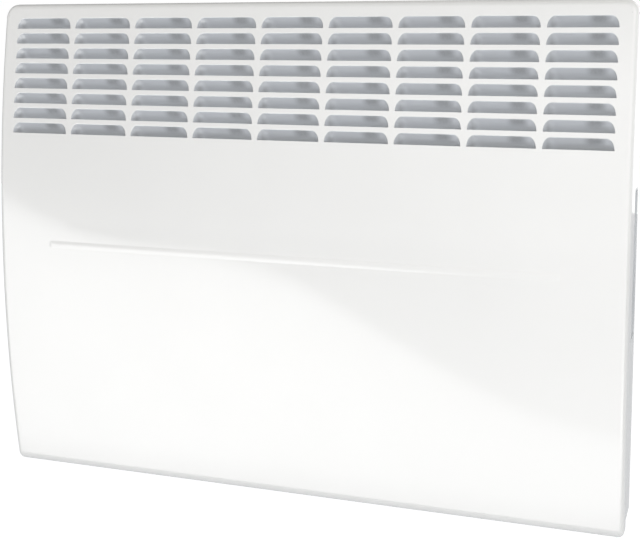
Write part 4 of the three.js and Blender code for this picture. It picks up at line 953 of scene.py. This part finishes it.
def screw(name, direction):
    """A cross-recess screw over one CAD screw, with a rolled thread. The front's screws lie flush."""
    low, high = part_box(name)
    along = Vector(direction)
    axis = max(range(3), key=lambda i: abs(along[i]))
    side = (axis + 1) % 3
    start = (low + high) / 2
    start[axis] = low[axis] if along[axis] > 0 else high[axis]
    length = high[axis] - low[axis]
    head = (high[side] - low[side]) / 2
    if name.startswith("front_screw"):
        shank, thick = head * 0.57, head * 0.45
        profile = [(0, 0), (head, 0.01 * MM), (head, 0.1 * MM), (shank, thick)]
    else:
        shank, thick = head * 0.5, head * 0.6
        dome = arc_points(0, 0, 1, 90, 0, 8)[1:]
        profile = [(0, 0)] + [(u * head * 0.98, thick * 0.85 * (1 - v)) for u, v in dome]
        profile += [(head, thick * 0.9), (head, thick), (shank, thick)]
    pitch, root, tip = shank * 0.8, shank * 0.82, shank * 0.7
    for i in range(int((length - thick) / pitch)):
        z = thick + pitch * (i + 0.3)
        profile += [(root, z), (shank, z + 0.25 * pitch), (root, z + 0.5 * pitch)]
    profile += [(tip, length), (0, length)]
    piece = new_piece(f"{name}_cross_recess", *lathe(profile, 28, start, direction), "plated_steel", sharp=40)

    reach, half, taper = head * 0.62, head * 0.12, 0.55  # of the recess, and how far it narrows inwards
    across = Vector()
    across[side] = 1
    upright = along.cross(across)
    cutters = []
    for first, second in ((across, upright), (upright, across)):

        def place(u, v, w, first=first, second=second):
            narrow = 1 if w < 0 else taper
            return start + first * u * narrow + second * v * narrow + along * w

        points, faces = prism(rectangle(reach, -half, half), -0.5 * head, 0.55 * thick, place)
        cutters.append(new_piece("recess", points, faces, "plated_steel"))
        turn_outward(cutters[-1])
    carve(piece, cutters)
    piece.data.set_sharp_from_angle(angle=math.radians(40))
    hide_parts(name)


class HEATER_OT_fasteners(bpy.types.Operator):
    """Builds every cross-recess screw over its plain solid"""

    bl_idname = "heater.fasteners"
    bl_label = "Fasteners"

    def execute(self, context):
        directions = {"front_screw": (0, 0, 1), "board_screw": (1, 0, 0)}
        for name in sorted(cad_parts):
            kind = name.rpartition("_")[0]
            if kind.endswith("_screw"):
                screw(name, directions.get(kind, (0, -1, 0)))
        return {"FINISHED"}


# ---------------------------------------------------------------- wall bracket


def weld_beads():
    """Short weld beads where the rails meet the uprights."""
    radius, rise, sunk, inset = 1.6 * MM, 0.5 * MM, 0.4 * MM, 6 * MM
    dome = [(radius * math.cos(a), rise * math.sin(a)) for a in (0, 0.5, 1.0)]
    profile = [(0, -sunk), (radius, -sunk), *dome, (0, rise)]
    parts = []
    for rail in ("bracket_rail_upper", "bracket_rail_lower"):
        low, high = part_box(rail)
        for x in (low.x, high.x):
            for z in (low.z + inset, high.z - inset):
                parts.append(lathe(profile, 16, (x, low.y, z), (0, -1, 0)))
    beads = new_piece("rail_weld_beads", *gather(parts), "plated_steel", sharp=60)


class HEATER_OT_wall_bracket(bpy.types.Operator):
    """Finishes the wall bracket and its quarter-turn locks, and adds the weld beads"""

    bl_idname = "heater.wall_bracket"
    bl_label = "Wall bracket"

    def execute(self, context):
        dress("galvanised_steel", "bracket_upright_left", "bracket_upright_right",
              "bracket_rail_upper", "bracket_rail_lower")
        dress("plated_steel", "bracket_lock_left", "bracket_lock_right")
        weld_beads()
        return {"FINISHED"}


# ---------------------------------------------------------------- stage


# The share of the plain white that gloss meets, kept low for the sake of the flank's grey.
FLOOR_GLOSS = 0.35
SKY_GLOSS = 0.1


def white_share(tree, gloss):
    """How much of the plain white a ray meets: all from the camera or through glass, a share in gloss."""
    path = add_node(tree, "ShaderNodeLightPath").outputs
    links = {0: path["Is Camera Ray"], 1: path["Is Transmission Ray"]}
    clear = add_node(tree, "ShaderNodeMath", {"operation": "ADD"}, links).outputs[0]
    settings = {"operation": "MULTIPLY_ADD", "use_clamp": True, 1: gloss}
    return add_node(tree, "ShaderNodeMath", settings, {0: path["Is Glossy Ray"], 2: clear}).outputs[0]


def white_floor():
    """Pale floor paint that the camera sees as white, with the object's shadow kept."""
    material = bpy.data.materials.new("white_floor")
    tree = empty_tree(material)
    paint = add_node(tree, "ShaderNodeBsdfDiffuse", {"Color": linear("e4e8ee")})
    seen = add_node(tree, "ShaderNodeBsdfDiffuse", {"Color": linear("d8d9da")})
    glow = add_node(tree, "ShaderNodeEmission", {"Color": linear("ffffff"), "Strength": 0.75})
    lifted = add_node(tree, "ShaderNodeAddShader", links={0: seen.outputs[0], 1: glow.outputs[0]})
    share = white_share(tree, FLOOR_GLOSS)
    mixed = add_node(tree, "ShaderNodeMixShader", links={0: share, 1: paint.outputs[0], 2: lifted.outputs[0]})
    add_node(tree, "ShaderNodeOutputMaterial", links={"Surface": mixed.outputs[0]})
    return material


def white_sky(front, high, back_left, back_right):
    """Light from the room: strongest in front, dim behind on the left. The camera sees plain white."""
    world = bpy.data.worlds.new("studio")
    bpy.context.scene.world = world
    tree = empty_tree(world)
    direction = add_node(tree, "ShaderNodeTexCoord").outputs["Generated"]
    along = add_node(tree, "ShaderNodeSeparateXYZ", links={"Vector": direction}).outputs
    settings = {"interpolation_type": "SMOOTHSTEP", "From Min": -0.12, "From Max": 0.04,
                "To Min": back_left, "To Max": back_right}
    back = add_node(tree, "ShaderNodeMapRange", settings, {"Value": along["X"]}).outputs["Result"]
    settings = {"interpolation_type": "SMOOTHSTEP", "From Min": -0.3, "From Max": 0.3, "To Min": front}
    links = {"Value": along["Y"], "To Max": back}
    level = add_node(tree, "ShaderNodeMapRange", settings, links).outputs["Result"]
    settings = {"interpolation_type": "SMOOTHSTEP", "From Min": 0.0, "From Max": 0.9,
                "To Min": 1.0, "To Max": high}
    overhead = add_node(tree, "ShaderNodeMapRange", settings, {"Value": along["Z"]}).outputs["Result"]
    links = {0: level, 1: overhead}
    strength = add_node(tree, "ShaderNodeMath", {"operation": "MULTIPLY"}, links).outputs[0]
    light = add_node(tree, "ShaderNodeBackground", {"Color": linear("ffffff")}, {"Strength": strength})
    white = add_node(tree, "ShaderNodeBackground", {"Color": linear("ffffff"), "Strength": 1.0})
    share = white_share(tree, SKY_GLOSS)
    mixed = add_node(tree, "ShaderNodeMixShader", links={0: share, 1: light.outputs[0], 2: white.outputs[0]})
    add_node(tree, "ShaderNodeOutputWorld", links={"Surface": mixed.outputs[0]})


def area_light(name, place, target, size, power):
    light = bpy.data.lights.new(name, "AREA")
    light.shape = "RECTANGLE"
    light.size, light.size_y = size
    light.energy = power
    lamp = add_object(name, light)
    lamp.location = place
    lamp.rotation_euler = (Vector(target) - Vector(place)).to_track_quat("-Z", "Y").to_euler()
    return lamp


# The card's flowing bright edge: places along x, and heights in the heater's own frame.
CARD_EDGE = (
    (-0.80, 0.010), (-0.67, -0.050), (-0.605, -0.085), (-0.545, -0.122), (-0.482, -0.154),
    (-0.405, -0.172), (-0.299, -0.180), (-0.227, -0.197), (-0.158, -0.230), (-0.091, -0.281),
    (0.012, -0.369), (0.126, -0.456), (0.250, -0.498), (0.40, -0.470), (0.90, -0.300), (1.20, -0.200),
)
CARD_DISTANCE = 0.55  # in front of the wall
CARD_FADE = 0.04  # width of the soft edge
CARD_FOOT = (-0.68, -0.90)  # heights where its lower end starts to fade and where it ends
CARD_SIDES = (-0.80, -0.67, 0.90, 1.20)  # along x, where it starts, is whole, starts to fade and ends
CARD_HEAD = (0.15, 0.45)  # heights where the part above the edge starts to fade and where it ends
CARD_GLOW = (-0.50, 0.25, 0.64)  # along x, where the part above the edge starts and ends its rise; its share


def mirrored_card(strength):
    """A white card before the heater that only glossy surfaces mirror, brightest below its flowing edge."""
    material = bpy.data.materials.new("white_card")
    tree = empty_tree(material)
    clear = add_node(tree, "ShaderNodeBsdfTransparent")
    glow = add_node(tree, "ShaderNodeEmission", {"Color": linear("ffffff"), "Strength": strength})
    share = add_node(tree, "ShaderNodeAttribute", {"attribute_name": "share"}).outputs["Fac"]
    mixed = add_node(tree, "ShaderNodeMixShader", links={0: share, 1: clear.outputs[0], 2: glow.outputs[0]})
    add_node(tree, "ShaderNodeOutputMaterial", links={"Surface": mixed.outputs[0]})

    points, shares = [], []
    steps = 6
    glow_start, glow_full, glow_share = CARD_GLOW
    foot_start, foot_end = CARD_FOOT
    head_start, head_end = CARD_HEAD
    left_end, left_whole, right_whole, right_end = CARD_SIDES
    for x, edge in CARD_EDGE:
        above = glow_share * min(max((x - glow_start) / (glow_full - glow_start), 0), 1)
        column = [(max(head_end, edge + 0.02), 0), (max(head_start, edge + 0.01), above)]
        for i in range(steps + 1):
            column.append((edge - CARD_FADE * i / steps, above + (1 - above) * (i / steps) ** 0.7))
        column += [(foot_start, 1), (foot_end, 0)]
        points += [(x, -CARD_DISTANCE, z) for z, share in column]
        side = min((x - left_end) / (left_whole - left_end), (right_end - x) / (right_end - right_whole), 1)
        shares += [share * side for z, share in column]
    rows = steps + 5
    starts = [column * rows + row for column in range(len(CARD_EDGE) - 1) for row in range(rows - 1)]
    faces = [[i, i + 1, i + rows + 1, i + rows] for i in starts]
    card = add_mesh("white_card", points, faces, material)
    card.data.attributes.new("share", "FLOAT", "POINT").data.foreach_set("value", shares)
    card.visible_camera = False
    card.visible_diffuse = False
    card.visible_transmission = False
    card.visible_shadow = False


class HEATER_OT_stage(bpy.types.Operator):
    """Sets the camera, the floor, the lights and the view transform"""

    bl_idname = "heater.stage"
    bl_label = "Stage"

    def execute(self, context):
        s = stage_settings()
        scene = context.scene
        camera = add_object("camera", bpy.data.cameras.new("camera"))
        camera.data.lens = s.lens
        camera.data.sensor_width = 36
        camera.data.shift_y = s.shift
        camera.location = s.eye
        camera.rotation_euler = (math.pi / 2 - s.pitch, 0, s.yaw)
        scene.camera = camera
        floor = CASING_FLOOR - s.floor_drop
        corners = [(x, y, floor) for x, y in rectangle(6.0, -6.0, 6.0)]
        add_mesh("pale_floor", corners, [[0, 1, 2, 3]], white_floor())
        white_sky(s.front_sky, s.high_sky, s.back_left_sky, s.back_right_sky)
        area_light("key_soft_box", (1.5, -1.5, 1.3), (0, 0, 0), (1.2, 1.2), s.key)
        under = (0, -0.9, floor + 10 * MM)
        low = area_light("low_fill_soft_box", under, (0, -0.9, 0), (2.0, 1.5), s.low_fill)
        low.visible_camera = False
        low.visible_glossy = False
        mirrored_card(s.card)
        scene.view_settings.view_transform = "Standard"
        scene.cycles.diffuse_bounces = 8  # light that finds its way in through the louvres
        return {"FINISHED"}


# ---------------------------------------------------------------- add-on


class HEATER_PT_pieces(bpy.types.Panel):
    """Lists the heater's pieces and settings"""

    bl_label = "Wall panel convector heater"
    bl_idname = "HEATER_PT_pieces"
    bl_space_type = "VIEW_3D"
    bl_region_type = "UI"
    bl_category = "Heater"

    def draw(self, context):
        for operator in OPERATORS:
            self.layout.operator(operator.bl_idname)
        for settings in (panel_settings(), finish_settings(), stage_settings()):
            column = self.layout.column()
            for name in settings.__annotations__:
                column.prop(settings, name)


OPERATORS = (
    HEATER_OT_stage,
    HEATER_OT_front_panel,
    HEATER_OT_casing,
    HEATER_OT_heating_parts,
    HEATER_OT_controls,
    HEATER_OT_fasteners,
    HEATER_OT_wall_bracket,
)
CLASSES = (HeaterPanelSettings, HeaterFinishSettings, HeaterStageSettings, *OPERATORS, HEATER_PT_pieces)


def register():
    for cls in CLASSES:
        bpy.utils.register_class(cls)
    bpy.types.Scene.heater_panel = PointerProperty(type=HeaterPanelSettings)
    bpy.types.Scene.heater_finish = PointerProperty(type=HeaterFinishSettings)
    bpy.types.Scene.heater_stage = PointerProperty(type=HeaterStageSettings)


def unregister():
    del bpy.types.Scene.heater_stage
    del bpy.types.Scene.heater_finish
    del bpy.types.Scene.heater_panel
    for cls in reversed(CLASSES):
        bpy.utils.unregister_class(cls)


def main():
    register()
    bpy.ops.heater.stage()
    bpy.ops.heater.front_panel()
    bpy.ops.heater.casing()
    bpy.ops.heater.heating_parts()
    bpy.ops.heater.controls()
    bpy.ops.heater.fasteners()
    bpy.ops.heater.wall_bracket()


if __name__ == "__main__":
    main()
